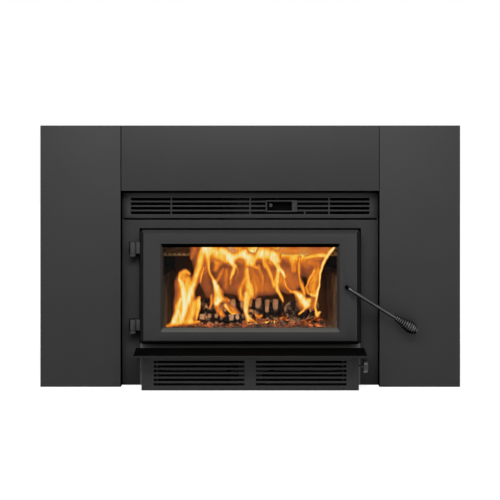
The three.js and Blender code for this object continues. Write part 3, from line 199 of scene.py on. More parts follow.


# ---------------------------------------- surround
# Three folded panels of 2 mm sheet steel that close the gap between the body and the fireplace, one on each
# side and one across the top. They have a matt high-temperature paint, and their undersides, returns and seam
# edges are painted black as shade.

def ramp(tree, share, stops):
    """A colour that runs through the stops, each a position and a colour."""
    node = add(tree, "ShaderNodeValToRGB", Fac=share)
    elements = node.color_ramp.elements
    for element, (position, colour) in zip(elements, (stops[0], stops[-1])):
        element.position = position
        element.color = (*colour, 1)
    for position, colour in stops[1:-1]:
        elements.new(position).color = (*colour, 1)
    return node


def clouds(tree, place, per_metre, detail, **terms):
    """A soft random pattern, from large clouds to a fine grain."""
    return add(tree, "ShaderNodeTexNoise", Vector=place, Scale=per_metre, Detail=detail, **terms)


def relief(tree, height, strength, depth):
    """Bumps as high as a pattern."""
    return add(tree, "ShaderNodeBump", Height=height, Strength=strength, Distance=depth)


def spread(tree, value, low, high):
    """Spreads a value from 0 to 1 over the range from low to high."""
    return add(tree, "ShaderNodeMapRange", Value=value, To_Min=low, To_Max=high)


def shade(tone, share):
    return [share * channel for channel in tone]


def finished(material, **finish):
    """Ends a material's tree with its surface."""
    tree = material.node_tree
    add(tree, "ShaderNodeOutputMaterial", Surface=add(tree, "ShaderNodeBsdfPrincipled", **finish))
    return material


def mottled(name, tone, roughness, contrast=0.14, clouds_per_metre=7, grains_per_metre=900, bump=0.12,
            bump_depth=0.4 * mm, metallic=0.0, gloss=0.3):
    """A finish with faint clouds and a fine grain, in colour, in roughness and in relief."""
    material, tree, place = node_material(name)
    cloud = clouds(tree, place, clouds_per_metre, 5)
    grain = clouds(tree, place, grains_per_metre, 3)
    shades = [(0.55, shade(tone, 1 - contrast)), (1, shade(tone, 1 + contrast))]
    return finished(
        material,
        Base_Color=ramp(tree, reckon(tree, "MULTIPLY_ADD", cloud, 0.6, grain), shades),
        Roughness=spread(tree, grain, roughness - 0.07, roughness + 0.07),
        Normal=relief(tree, grain, bump, bump_depth),
        Metallic=metallic,
        Specular_IOR_Level=gloss,
    )


smooth_below = math.radians(32)


def finish_piece(piece, material, body):
    """Turns a piece's modifiers into its mesh, paints it and hangs it on its body."""
    bpy.context.view_layer.update()
    made = bpy.data.meshes.new_from_object(piece.evaluated_get(bpy.context.evaluated_depsgraph_get()))
    piece.modifiers.clear()
    piece.data = made
    made.name = piece.name
    made.materials.clear()
    made.materials.append(material)
    made.polygons.foreach_set("material_index", [0] * len(made.polygons))
    made.shade_smooth()
    made.set_sharp_from_angle(angle=smooth_below)
    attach(piece, body)


weld_within = 0.001 * mm
flat_within = math.radians(0.5)
round_from = math.radians(28)


def rounded(name, node, radius, material):
    """The frame's solid with its edges rounded, as a piece that stands for it."""
    solid = frame["nodes"][node]
    corners = [vertex.co[:] for vertex in solid.data.vertices]
    sharp = bpy.data.meshes.new(name)
    sharp.from_pydata(corners, [], [face.vertices[:] for face in solid.data.polygons])
    shape = bmesh.new()
    shape.from_mesh(sharp)
    bmesh.ops.remove_doubles(shape, verts=shape.verts, dist=weld_within)
    bmesh.ops.dissolve_limit(shape, angle_limit=flat_within, verts=shape.verts, edges=shape.edges)
    shape.to_mesh(sharp)
    shape.free()
    piece = put_in_scene(name, sharp)
    if radius:
        edge = piece.modifiers.new("rounded_edges", "BEVEL")
        edge.width = radius
        edge.segments = 2
        edge.limit_method = "ANGLE"
        edge.angle_limit = round_from
    finish_piece(piece, material, solid["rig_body"])
    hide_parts(node)
    return piece


def repaint(piece, material, chosen):
    """A second finish on the faces that chosen(normal, centre) picks."""
    number = len(piece.data.materials)
    piece.data.materials.append(material)
    for face in piece.data.polygons:
        if chosen(face.normal, face.center):
            face.material_index = number


surround_paint = mottled("surround_paint", (0.0262, 0.0262, 0.0266), 0.58)
# Near-black without gloss: painted shade for faces that lie in shadow.
painted_shade_black = mottled("painted_shade_black", (0.003, 0.003, 0.003), 0.9, gloss=0)
opening_half = 346 * mm
opening_top = 526 * mm
seam_from = 338 * mm
top_fold_front = -24 * mm
side_fold_front = -24.9 * mm
tab_front = 25 * mm
tab_end = 344.25 * mm
tab_height = 2 * mm
tab_clearance = 0.02 * mm
jacket_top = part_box("convection_casing")[1].z
slanted = 0.3
square = 0.9


def top_shadows(normal, centre):
    """The top panel's underside behind its face, and its ends along the seams: faces painted black as shade.
    """
    under = centre.z < opening_top and centre.y > top_fold_front
    return under or (abs(normal.x) > slanted and abs(centre.x) > seam_from)


def side_shadows(normal, centre):
    """A side panel's returns and edges along the opening and the seam: faces painted black as shade."""
    return abs(centre.x) < opening_half and (centre.y > side_fold_front or abs(normal.x) > slanted)


def close_gap(panel):
    """Lays the top panel's tab on the jacket and widens it, so that no light comes past it."""
    for corner in panel.data.vertices:
        if corner.co.y > tab_front and corner.co.z < jacket_top + tab_height:
            corner.co.z = jacket_top + tab_clearance
        if corner.co.y > top_fold_front and seam_from < abs(corner.co.x) < opening_half:
            corner.co.x = math.copysign(tab_end, corner.co.x)


for side in ("left", "right"):
    side_panel = rounded(f"surround_{side}", f"faceplate_{side}", 0.9 * mm, surround_paint)
    repaint(side_panel, painted_shade_black, side_shadows)
top_panel = rounded("surround_top", "faceplate_top", 0.9 * mm, surround_paint)
repaint(top_panel, painted_shade_black, top_shadows)
close_gap(top_panel)


# ---------------------------------------- stove body
# A 5 mm steel face with the mouth of the firebox in it, in matt paint, sooty behind the door, with a thin line
# of painted shade round the door and a pale strip of painted light under it. Behind it stand the thin casing
# that leads the warm air round the firebox and the plate that it all rests on, both of zinc-coated sheet.

body_paint = mottled("body_paint", (0.026, 0.0265, 0.028), 0.56)
face_paint = mottled("face_paint", (0.06, 0.06, 0.062), 0.75, gloss=0)
door_low, door_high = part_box("door_frame")
# Soot behind the door, and painted shade in the thin line round its edge.
soot_and_shade_margin = 3.4 * mm
margin_fade = 1.2 * mm
pale_from = 1.6 * mm
pale_to = 0.4 * mm
soot_and_shade_black = (0.002, 0.002, 0.002, 1)
# A pale colour: painted light on the strip under the door, against the shadow that the door casts.
painted_light_pale = (0.3, 0.298, 0.29, 1)


def soot_shade_and_light_round_door(material):
    """Blackens the paint behind the closed door as soot and in a thin line round it as painted shade, and
    paints a pale strip below it as painted light.
    """
    tree = material.node_tree
    finish = next(node for node in tree.nodes if node.type == "BSDF_PRINCIPLED")
    paint = finish.inputs["Base Color"].links[0].from_socket
    place = tree.nodes.new("ShaderNodeTexCoord").outputs["Object"]
    axes = add(tree, "ShaderNodeSeparateXYZ", Vector=place)

    def blend(share, first, second):
        mix = add(tree, "ShaderNodeMix", data_type="RGBA", Factor=share, A=first, B=second)
        return mix.outputs["Result"]

    def rise(value, start, end):
        return add(tree, "ShaderNodeMapRange", Value=value, From_Min=start, From_Max=end)

    beyond = []
    for axis, start, end in (("X", door_low.x, door_high.x), ("Z", door_low.z, door_high.z)):
        offset = reckon(tree, "ABSOLUTE", reckon(tree, "SUBTRACT", axes.outputs[axis], (start + end) / 2))
        beyond.append(reckon(tree, "SUBTRACT", offset, (end - start) / 2))
    outside = rise(reckon(tree, "MAXIMUM", *beyond), soot_and_shade_margin, soot_and_shade_margin + margin_fade)
    above_pale = rise(axes.outputs["Z"], door_low.z - pale_from, door_low.z - pale_to)
    beside_pale = rise(beyond[0], 0, soot_and_shade_margin)
    blackened = blend(outside, soot_and_shade_black, paint)
    lightened = blend(reckon(tree, "MAXIMUM", above_pale, beside_pale), painted_light_pale, blackened)
    put(tree, finish.inputs["Base Color"], lightened)


soot_shade_and_light_round_door(face_paint)
rounded("stove_face", "body_face", 0.8 * mm, face_paint)


def zinc_sheet(name, tone, crystals_per_metre=70):
    """Dull zinc coating, whose crystals differ a little in shade and gloss."""
    material, tree, place = node_material(name)
    crystals = add(tree, "ShaderNodeTexVoronoi", Vector=place, Scale=crystals_per_metre).outputs["Color"]
    stains = clouds(tree, place, 5, 6)
    shades = [(0, shade(tone, 0.6)), (1, shade(tone, 1.25))]
    return finished(
        material,
        Base_Color=ramp(tree, reckon(tree, "MULTIPLY", crystals, stains), shades),
        Roughness=spread(tree, crystals, 0.42, 0.7),
        Metallic=0.75,
    )


def dress(node, material):
    """A better finish for one of the frame's own solids."""
    for material_slot in frame["nodes"][node].material_slots:
        material_slot.material = material


casing_sheet = zinc_sheet("casing_sheet", (0.3, 0.305, 0.31))
painted_inside_shade = mottled("painted_inside_shade", (0.012, 0.012, 0.012), 0.9, gloss=0.05)
jacket = rounded("warm_air_jacket", "convection_casing", 0.4 * mm, casing_sheet)
jacket_middle = Vector((0, 190 * mm, 260 * mm))
# The casing's inward faces are painted near-black as shade.
repaint(jacket, painted_inside_shade, lambda normal, centre: normal.dot(jacket_middle - centre) > 0)
dress("base_plate", casing_sheet)


# ---------------------------------------- warm-air grille
# A steel plate with four rows of long slots above the door, where the warmed air comes out. Only thin ribs
# break the slots. It has the surround's kind of paint.

grille_paint = mottled("grille_paint", (0.0205, 0.021, 0.0212), 0.56)
rounded("warm_air_grille", "outlet_grille", 0.5 * mm, grille_paint)


# ---------------------------------------- air control
# A folded frame in the grille, held by one screw, with the round knob of the combustion-air lever in it.
# The lever slides a shutter plate across the mouth of the air inlet box, which sits on top of the firebox.

control_paint = mottled("control_paint", (0.028, 0.028, 0.029), 0.5)
knob_black = mottled("lever_black", (0.009, 0.009, 0.009), 0.3, gloss=0.5)
inlet_shade_black = mottled("inlet_shade_black", (0.003, 0.003, 0.003), 0.85, clouds_per_metre=30, gloss=0.05)
rounded("control_window", "air_control_frame", 0.5 * mm, control_paint)
rounded("control_screw", "air_frame_screw", 0.3 * mm, knob_black)
rounded("control_lever", "air_control_lever", 0.4 * mm, knob_black)
# The shutter and the inlet box get a near-black finish with painted shade, for the dark hollow of the inlet.
dress("air_shutter", inlet_shade_black)
dress("air_inlet_box", inlet_shade_black)


# ---------------------------------------- firebox
# A box of 5 mm steel plate, welded and black with soot, with a round collar on top for the chimney pipe. Two
# channels under its roof carry the air tubes and the baffle, and a folded deflector sends air down the glass.

soot = mottled("sooted_steel", (0.011, 0.010, 0.0095), 0.85, contrast=0.35, clouds_per_metre=16,
               grains_per_metre=320, bump=0.4, bump_depth=0.8 * mm, gloss=0.15)
collar_paint = mottled("collar_paint", (0.03, 0.03, 0.031), 0.55)
for node in ("firebox_shell", "air_channel_left", "air_channel_right", "air_wash_deflector", "latch_finger"):
    dress(node, soot)
rounded("chimney_collar", "flue_collar", 0.8 * mm, collar_paint)


# ---------------------------------------- firebricks
# Pressed refractory bricks of a pale buff, stood along the sides and the back and laid on the floor with
# narrow joints. Smoke darkens them in clouds and in their pores, and painted shade darkens them towards the
# top.

def smoked_and_shaded_brick(name, clean, smoke_and_shade_tone):
    """Brick with pores and grit, darkened by smoke in clouds, with painted shade that gets darker upwards."""
    material, tree, place = node_material(name)
    smoke = clouds(tree, place, 9, 7, Roughness=0.62)
    pores = clouds(tree, place, 420, 4)
    grit = add(tree, "ShaderNodeTexVoronoi", Vector=place, Scale=230)
    height = add(tree, "ShaderNodeSeparateXYZ", Vector=place).outputs["Z"]
    # Painted shade: the colour gets darker towards the top of the firebox.
    heights = {"From_Min": 0.14, "From_Max": 0.33}
    rise = add(tree, "ShaderNodeMapRange", Value=height, **heights, To_Min=0.12, To_Max=-0.3)
    return finished(
        material,
        Base_Color=ramp(tree, reckon(tree, "ADD", smoke, rise), [(0.3, smoke_and_shade_tone), (0.72, clean)]),
        Normal=relief(tree, reckon(tree, "ADD", pores, grit), 0.55, 0.9 * mm),
        Roughness=0.92,
        Specular_IOR_Level=0.15,
    )


brick_face = smoked_and_shaded_brick("firebrick_face", (0.44, 0.3, 0.16), (0.08, 0.05, 0.027))
# A darker copy of the brick for the left side wall: painted shade on that wall.
painted_shade_brick = smoked_and_shaded_brick("painted_shade_brick", (0.2, 0.15, 0.085), (0.035, 0.025, 0.014))
for wall in ("side", "rear", "floor"):
    for side in ("left", "right"):
        face = painted_shade_brick if (wall, side) == ("side", "left") else brick_face
        rounded(f"{wall}_bricks_{side}", f"{wall}_brick_{side}", 0.9 * mm, face)


# ---------------------------------------- air tubes
# Three stainless tubes across the top of the firebox, brown and gold from the heat, blow preheated air into
# the flames through a row of punched holes. The baffle's two boards of pressed ceramic fibre lie on them.

def heat_tint(name, gold, brown):
    """Stainless steel, which the heat has coloured in soft bands along its length."""
    material, tree, place = node_material(name)
    bands = clouds(tree, place, 26, 5)
    scratches = clouds(tree, place, 600, 3)
    return finished(
        material,
        Base_Color=ramp(tree, bands, [(0.35, brown), (0.68, gold)]),
        Roughness=spread(tree, scratches, 0.34, 0.58),
        Metallic=0.45,
    )


def node_tree(name, sizes):
    """A Geometry Nodes tree with its sizes as named inputs and one geometry as its output."""
    tree = bpy.data.node_groups.new(name, "GeometryNodeTree")
    kinds = {float: "NodeSocketFloat", int: "NodeSocketInt", tuple: "NodeSocketVector"}
    for size_name, value in sizes.items():
        tree.interface.new_socket(size_name, in_out="INPUT", socket_type=kinds[type(value)])
    tree.interface.new_socket("Geometry", in_out="OUTPUT", socket_type="NodeSocketGeometry")
    return tree, tree.nodes.new("NodeGroupInput").outputs


def placed(tree, geometry, place, turn=(0, 0, 0)):
    return add(tree, "GeometryNodeTransform", Geometry=geometry, Translation=place, Rotation=turn)


def end_tree(tree, geometry, material):
    """Ends a tree with whole geometry in its material."""
    realized = add(tree, "GeometryNodeRealizeInstances", Geometry=geometry)
    painted = add(tree, "GeometryNodeSetMaterial", Geometry=realized, Material=material)
    add(tree, "NodeGroupOutput", Geometry=painted)
    return tree


def grown(name, tree, sizes, material, body):
    """A piece whose mesh a tree makes from the given sizes."""
    piece = put_in_scene(name, bpy.data.meshes.new(name))
    grower = piece.modifiers.new(name, "NODES")
    grower.node_group = tree
    for socket in tree.interface.items_tree:
        if socket.in_out == "INPUT":
            grower[socket.identifier] = sizes[socket.name]
    finish_piece(piece, material, body)
    return piece


tube_gold = heat_tint("heat_tinted_tube", (0.75, 0.5, 0.2), (0.3, 0.17, 0.07))
# Near-black plugs: painted shade for the hollows of the punched holes.
hole_black = mottled("hole_black", (0.006, 0.005, 0.004), 0.9, gloss=0.05)
hole_sizes = {"Start": (0.0, 0.0, 0.0), "Pitch": 13 * mm, "Count": 36, "Radius": 2.5 * mm, "Depth": 1.2 * mm}
hole_sunk = 0.35
quarter_turn = (math.pi / 2, 0, 0)


def row_of_holes():
    """Short dark plugs in a row along X, facing forwards: painted shade that stands for the punched holes of
    one air tube.
    """
    tree, sizes = node_tree("row_of_holes", hole_sizes)
    step = add(tree, "ShaderNodeCombineXYZ", X=sizes["Pitch"])
    row = add(tree, "GeometryNodeMeshLine", Count=sizes["Count"], Start_Location=sizes["Start"], Offset=step)
    plug = add(tree, "GeometryNodeMeshCylinder", Vertices=8, Radius=sizes["Radius"], Depth=sizes["Depth"])
    forwards = placed(tree, plug, (0, 0, 0), quarter_turn)
    copies = add(tree, "GeometryNodeInstanceOnPoints", Points=row, Instance=forwards)
    return end_tree(tree, copies, hole_black)


hole_row = row_of_holes()
first_hole = -(hole_sizes["Count"] - 1) * hole_sizes["Pitch"] / 2
for number in (1, 2, 3):
    rounded(f"heated_air_tube_{number}", f"air_tube_{number}", 0, tube_gold)
    tube_low, tube_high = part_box(f"air_tube_{number}")
    start = (first_hole, tube_low.y + hole_sunk * hole_sizes["Depth"], (tube_low.z + tube_high.z) / 2)
    row_sizes = {**hole_sizes, "Start": start}
    grown(f"air_tube_holes_{number}", hole_row, row_sizes, hole_black, "insert_body")

board = mottled("fibre_board", (0.42, 0.3, 0.17), 0.95, contrast=0.3, clouds_per_metre=24,
                grains_per_metre=260, bump=0.5, bump_depth=0.8 * mm, gloss=0.1)
for side in ("left", "right"):
    rounded(f"baffle_{side}", f"baffle_board_{side}", 1.2 * mm, board)


# ---------------------------------------- door
# A bevelled steel frame with rounded corners, in matt paint, with one pane of clear ceramic glass. Two flat
# retainers press the pane on its gasket from behind, and a twisted rope in a channel seals the door.

door_paint = mottled("door_paint", (0.0245, 0.0245, 0.025), 0.56)
# Painted shade on the door's sides and on its faces that look down.
door_side_shade = mottled("door_side_painted_shade", (0.008, 0.008, 0.008), 0.6, gloss=0.1)
# Painted light on the bevel under the glass.
door_sill_light = mottled("door_sill_painted_light", (0.088, 0.088, 0.08), 0.5)
# Painted shade on the bevel over the glass and on the door's top face.
door_brow_shade = mottled("door_brow_painted_shade", (0.0012, 0.0012, 0.0012), 0.9, gloss=0)
door = rounded("door_casting", "door_frame", 1.1 * mm, door_paint)
bevel_width = 11 * mm
view_low = 170 * mm
view_high = 340 * mm
top_band = 2 * mm
tilted = 0.2


def door_sides(normal, centre):
    """The faces that look down, and the left and right sides with their bevels: faces painted near-black as
    shade.
    """
    inner = door_low.x + bevel_width < centre.x < door_high.x - bevel_width
    return normal.z < -slanted or (abs(normal.x) > slanted and not inner)


def sill(normal, centre):
    """The bevel under the glass, painted lighter as the light from above that it catches."""
    return normal.z > slanted and normal.y < -tilted and centre.z < view_low


def brow(normal, centre):
    """The bevel over the glass, and the top face of the door: faces painted black as shade."""
    on_top = normal.z > square and centre.z > door_high.z - top_band
    return on_top or (normal.z < -slanted and centre.z > view_high)


repaint(door, door_side_shade, door_sides)
repaint(door, door_sill_light, sill)
repaint(door, door_brow_shade, brow)


def ceramic_glass(name):
    """Clear glass that shows what is behind it almost unchanged, with a thin reflection."""
    material, tree, place = node_material(name)
    wavy = relief(tree, clouds(tree, place, 6, 1), 0.05, 0.5 * mm)
    return finished(material, Base_Color=(0.02, 0.02, 0.02, 1), Roughness=0.03, Alpha=0.05, Normal=wavy)


dress("door_glass", ceramic_glass("ceramic_glass"))
gasket_black = mottled("gasket_black", (0.02, 0.019, 0.018), 0.95, clouds_per_metre=60, grains_per_metre=700,
                       bump=0.8, gloss=0.1)
dress("glass_gasket", gasket_black)
for edge in ("top", "bottom"):
    rounded(f"glass_clip_{edge}", f"glass_retainer_{edge}", 0.5 * mm, body_paint)

rope_radius = 5 * mm
rope_sizes = {"Width": 0.0, "Height": 0.0, "Corner": 20 * mm, "Strand": 2.7 * mm, "Off Centre": 2.2 * mm,
              "Turns": 110, "Strands": 3, "Place": (0.0, 0.0, 0.0)}


def twisted_rope():
    """Strands wound round each other along an upright rectangle with round corners."""
    tree, sizes = node_tree("twisted_rope", rope_sizes)
    sides = add(tree, "GeometryNodeCurvePrimitiveQuadrilateral", Width=sizes["Width"], Height=sizes["Height"])
    corners = add(tree, "GeometryNodeFilletCurve", mode="POLY", Curve=sides, Count=8, Radius=sizes["Corner"])
    steps = add(tree, "GeometryNodeResampleCurve", Curve=corners, Count=900)
    strands = sizes["Strands"]
    copies = add(tree, "GeometryNodeDuplicateElements", domain="SPLINE", Geometry=steps, Amount=strands)
    along = tree.nodes.new("GeometryNodeSplineParameter").outputs["Factor"]
    turned = reckon(tree, "MULTIPLY", along, sizes["Turns"])
    start = reckon(tree, "DIVIDE", copies.outputs["Duplicate Index"], strands)
    turn = reckon(tree, "MULTIPLY", reckon(tree, "ADD", turned, start), math.tau)
    up = reckon(tree, "MULTIPLY", reckon(tree, "COSINE", turn), sizes["Off Centre"])
    aside = reckon(tree, "MULTIPLY", reckon(tree, "SINE", turn), sizes["Off Centre"])
    tangent = tree.nodes.new("GeometryNodeInputTangent")
    upright = tree.nodes.new("GeometryNodeInputNormal")
    sideways = in_order(tree, "ShaderNodeVectorMath", tangent, upright, operation="CROSS_PRODUCT")
    first = add(tree, "ShaderNodeVectorMath", operation="SCALE", Vector=upright, Scale=up)
    second = add(tree, "ShaderNodeVectorMath", operation="SCALE", Vector=sideways, Scale=aside)
    offset = in_order(tree, "ShaderNodeVectorMath", first, second, operation="ADD")
    moved = add(tree, "GeometryNodeSetPosition", Geometry=copies, Offset=offset)
    section = add(tree, "GeometryNodeCurvePrimitiveCircle", Resolution=6, Radius=sizes["Strand"])
    solid = add(tree, "GeometryNodeCurveToMesh", Curve=moved, Profile_Curve=section)
    return end_tree(tree, placed(tree, solid, sizes["Place"], quarter_turn), gasket_black)


rope_low, rope_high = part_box("door_rope_gasket")
rope_sizes["Width"] = rope_high.x - rope_low.x - 2 * rope_radius
rope_sizes["Height"] = rope_high.z - rope_low.z - 2 * rope_radius
rope_sizes["Place"] = tuple((rope_low + rope_high) / 2)
rope = grown("door_rope", twisted_rope(), rope_sizes, gasket_black, "door")
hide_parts("door_rope_gasket")


# ---------------------------------------- hinges
# Two turned steel knuckles on the left edge of the door. Each drops over the pin of a bracket that is welded
# to the body face. Their ends and sides are painted black as shade.

hinge_paint = mottled("hinge_paint", (0.03, 0.03, 0.031), 0.5, gloss=0.35)
knuckle_side = 0.65


def knuckle_shadows(normal, centre):
    return normal.x < -knuckle_side or normal.x > square or abs(normal.z) > slanted


def bracket_shadows(normal, centre):
    return abs(normal.x) > square


for place in ("upper", "lower"):
    knuckle = rounded(f"{place}_hinge_knuckle", f"hinge_knuckle_{place}", 0.9 * mm, hinge_paint)
    bracket = rounded(f"{place}_hinge_bracket", f"hinge_bracket_{place}", 0.9 * mm, hinge_paint)
    # Painted shade on the knuckles' ends and sides and on the brackets' sides.
    repaint(knuckle, painted_shade_black, knuckle_shadows)
    repaint(bracket, painted_shade_black, bracket_shadows)


# ---------------------------------------- door handle
# A bent round bar that passes through the door and turns a latch finger behind it. Its grip is a spring of
# round wire, wound to a pear shape over the bar, which keeps the hand off the hot steel.

handle_black = mottled("handle_black", (0.003, 0.003, 0.003), 0.26, gloss=0.75, bump=0.05)
spring_black = mottled("spring_black", (0.0025, 0.0025, 0.0025), 0.3, gloss=0.9, bump=0.05)
bar = rounded("handle_bar", "handle_rod", 0.3 * mm, handle_black)
rounded("latch_nuts", "latch_nut", 0.3 * mm, zinc_sheet("nut_zinc", (0.4, 0.4, 0.4), 300))

handle_shaft = Vector((256 * mm, -48 * mm, 266 * mm))
handle_slope = math.radians(32)
shaft_shadow = 5 * mm


def bar_shadows(normal, centre):
    """The underside of the bar, and its start round the shaft: faces painted black as shade."""
    from_shaft = math.hypot(centre.x - handle_shaft.x, centre.z - handle_shaft.z)
    return normal.z < -tilted or from_shaft < shaft_shadow


# Painted shade on the bar's underside and round its shaft.
repaint(bar, painted_shade_black, bar_shadows)

grip_sizes = {"Start": 150 * mm, "Length": 66 * mm, "Turns": 11.0, "Wire": 2.2 * mm, "Thin": 6.8 * mm,
              "Full": 14.8 * mm, "Fullest At": 0.7, "Place": tuple(handle_shaft),
              "Slope": (0.0, handle_slope, 0.0)}
steps_in_a_turn = 26
swell_power = 1.15


def wound_grip():
    """A spring whose turns swell from the thin ends to the fullest one and close up again."""
    tree, sizes = node_tree("wound_grip", grip_sizes)
    steps = grip_sizes["Turns"] * steps_in_a_turn
    line = add(tree, "GeometryNodeMeshLine", Count=int(steps) + 1)
    share = reckon(tree, "DIVIDE", tree.nodes.new("GeometryNodeInputIndex"), steps)
    bend = reckon(tree, "LOGARITHM", 0.5, sizes["Fullest At"])
    swell = reckon(tree, "SINE", reckon(tree, "MULTIPLY", reckon(tree, "POWER", share, bend), math.pi))
    swell = reckon(tree, "POWER", reckon(tree, "MAXIMUM", swell, 0), swell_power)
    extra = reckon(tree, "SUBTRACT", sizes["Full"], sizes["Thin"])
    radius = reckon(tree, "MULTIPLY_ADD", swell, extra, sizes["Thin"])
    turn = reckon(tree, "MULTIPLY", share, reckon(tree, "MULTIPLY", sizes["Turns"], math.tau))
    point = add(
        tree,
        "ShaderNodeCombineXYZ",
        X=reckon(tree, "MULTIPLY_ADD", share, sizes["Length"], sizes["Start"]),
        Y=reckon(tree, "MULTIPLY", reckon(tree, "COSINE", turn), radius),
        Z=reckon(tree, "MULTIPLY", reckon(tree, "SINE", turn), radius),
    )
    curve = add(tree, "GeometryNodeMeshToCurve", Mesh=line)
    moved = add(tree, "GeometryNodeSetPosition", Geometry=curve, Position=point)
    section = add(tree, "GeometryNodeCurvePrimitiveCircle", Resolution=9, Radius=sizes["Wire"])
    solid = add(tree, "GeometryNodeCurveToMesh", Curve=moved, Profile_Curve=section, Fill_Caps=True)
    return end_tree(tree, placed(tree, solid, sizes["Place"], sizes["Slope"]), spring_black)


grip = grown("spring_grip", wound_grip(), grip_sizes, spring_black, "door_handle")
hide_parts("handle_grip")
# Painted shade on the grip's underside.
repaint(grip, painted_shade_black, lambda normal, centre: normal.z < -slanted)


# ---------------------------------------- ash shelf
# A steel plate under the door that catches ash. Its upper face has a smooth finish, painted near-black as
# shade and as a dark reflection, and its edges have a matt paint.

shelf_top_shade = mottled("shelf_top_shade", (0.0012, 0.0012, 0.0011), 0.85, gloss=0.02, bump=0.05)
shelf_paint = mottled("shelf_paint", (0.016, 0.0165, 0.016), 0.6, gloss=0.15)
shelf = rounded("ash_ledge", "ash_shelf", 1.2 * mm, shelf_paint)
# Painted shade and painted reflection: the upper face is near-black.
repaint(shelf, shelf_top_shade, lambda normal, centre: normal.z > square)


# ---------------------------------------- blower
# A sheet-steel box under the shelf, with louvre slots in front. In it a motor turns two squirrel-cage
# wheels, each in a scroll, and a speed knob on its right end sets them. The cable gland is on its left end.

housing_paint = mottled("housing_paint", (0.0225, 0.0225, 0.0225), 0.58)
rounded("blower_casing", "blower_housing", 0.6 * mm, housing_paint)
plastic = mottled("moulded_plastic", (0.008, 0.008, 0.0085), 0.34, clouds_per_metre=30, gloss=0.5)
rounded("speed_dial", "speed_knob", 0.7 * mm, plastic)
rounded("cable_gland", "cord_gland", 0.5 * mm, plastic)
dress("speed_control", plastic)
# The wheels and scrolls are a near-black sheet.
wheel_sheet = mottled("near_black_wheel_sheet", (0.004, 0.004, 0.004), 0.8, clouds_per_metre=40, metallic=0.2,
                      gloss=0.05)
for node in ("blower_wheel_left", "blower_wheel_right", "blower_scroll_left", "blower_scroll_right"):
    dress(node, wheel_sheet)
rounded("rotor_shaft", "blower_shaft", 0, zinc_sheet("shaft_steel", (0.1, 0.1, 0.1), 300))
motor_lacquer = mottled("motor_lacquer", (0.008, 0.008, 0.0085), 0.6, gloss=0.2)
rounded("motor_casing", "blower_motor", 0.8 * mm, motor_lacquer)
for side in ("left", "right"):
    rounded(f"shaft_bearing_{side}", f"blower_bearing_{side}", 0.5 * mm, motor_lacquer)


# ---------------------------------------- logs
# Three split logs, burnt to char that has cracked into rows of blocks. The blocks are pale with ash where they
# stand out, black in the cracks, and some cracks glow. The palest ash also glows a little, as painted light
# from the fire.

def charred(name):
    """Char with ash on the blocks, whose heights are in the attribute block, a glow in some cracks, and
    painted light on the palest ash.
    """
    material, tree, place = node_material(name)
    block = add(tree, "ShaderNodeAttribute", attribute_name="block").outputs["Fac"]
    ash = clouds(tree, place, 120, 6, Roughness=0.7)
    glow_spots = clouds(tree, place, 28, 3)
    pale = reckon(tree, "ADD", reckon(tree, "MULTIPLY_ADD", ash, 0.9, -0.45), block)
    crack = reckon(tree, "MAXIMUM", reckon(tree, "SUBTRACT", 0.5, block), 0)
    hot = reckon(tree, "MULTIPLY", reckon(tree, "SUBTRACT", glow_spots, 0.56), 7)
    hot = reckon(tree, "MULTIPLY", reckon(tree, "MULTIPLY", crack, 3), hot)
    hot = reckon(tree, "MINIMUM", reckon(tree, "MAXIMUM", hot, 0), 1)
    # Painted light: the palest ash glows faintly, as if lit by the flames.
    painted_light_ash = reckon(tree, "MAXIMUM", reckon(tree, "SUBTRACT", pale, 0.62), 0)
    shine = reckon(tree, "MULTIPLY_ADD", painted_light_ash, 0.8, hot)
    shades = [(0.5, (0.018, 0.009, 0.006)), (0.74, (0.13, 0.075, 0.045)), (1, (0.42, 0.3, 0.2))]
    glows = [(0, (0, 0, 0)), (0.2, (0.17, 0.085, 0.042)), (1, (1.0, 0.34, 0.06))]
    return finished(
        material,
        Base_Color=ramp(tree, pale, shades),
        Emission_Color=ramp(tree, shine, glows),
        Emission_Strength=1,
        Normal=relief(tree, ash, 0.8, 1.5 * mm),
        Roughness=0.9,
        Specular_IOR_Level=0.2,
    )


char = charred("charred_log")
ring_gap = 1.6 * mm
end_taper = 12 * mm


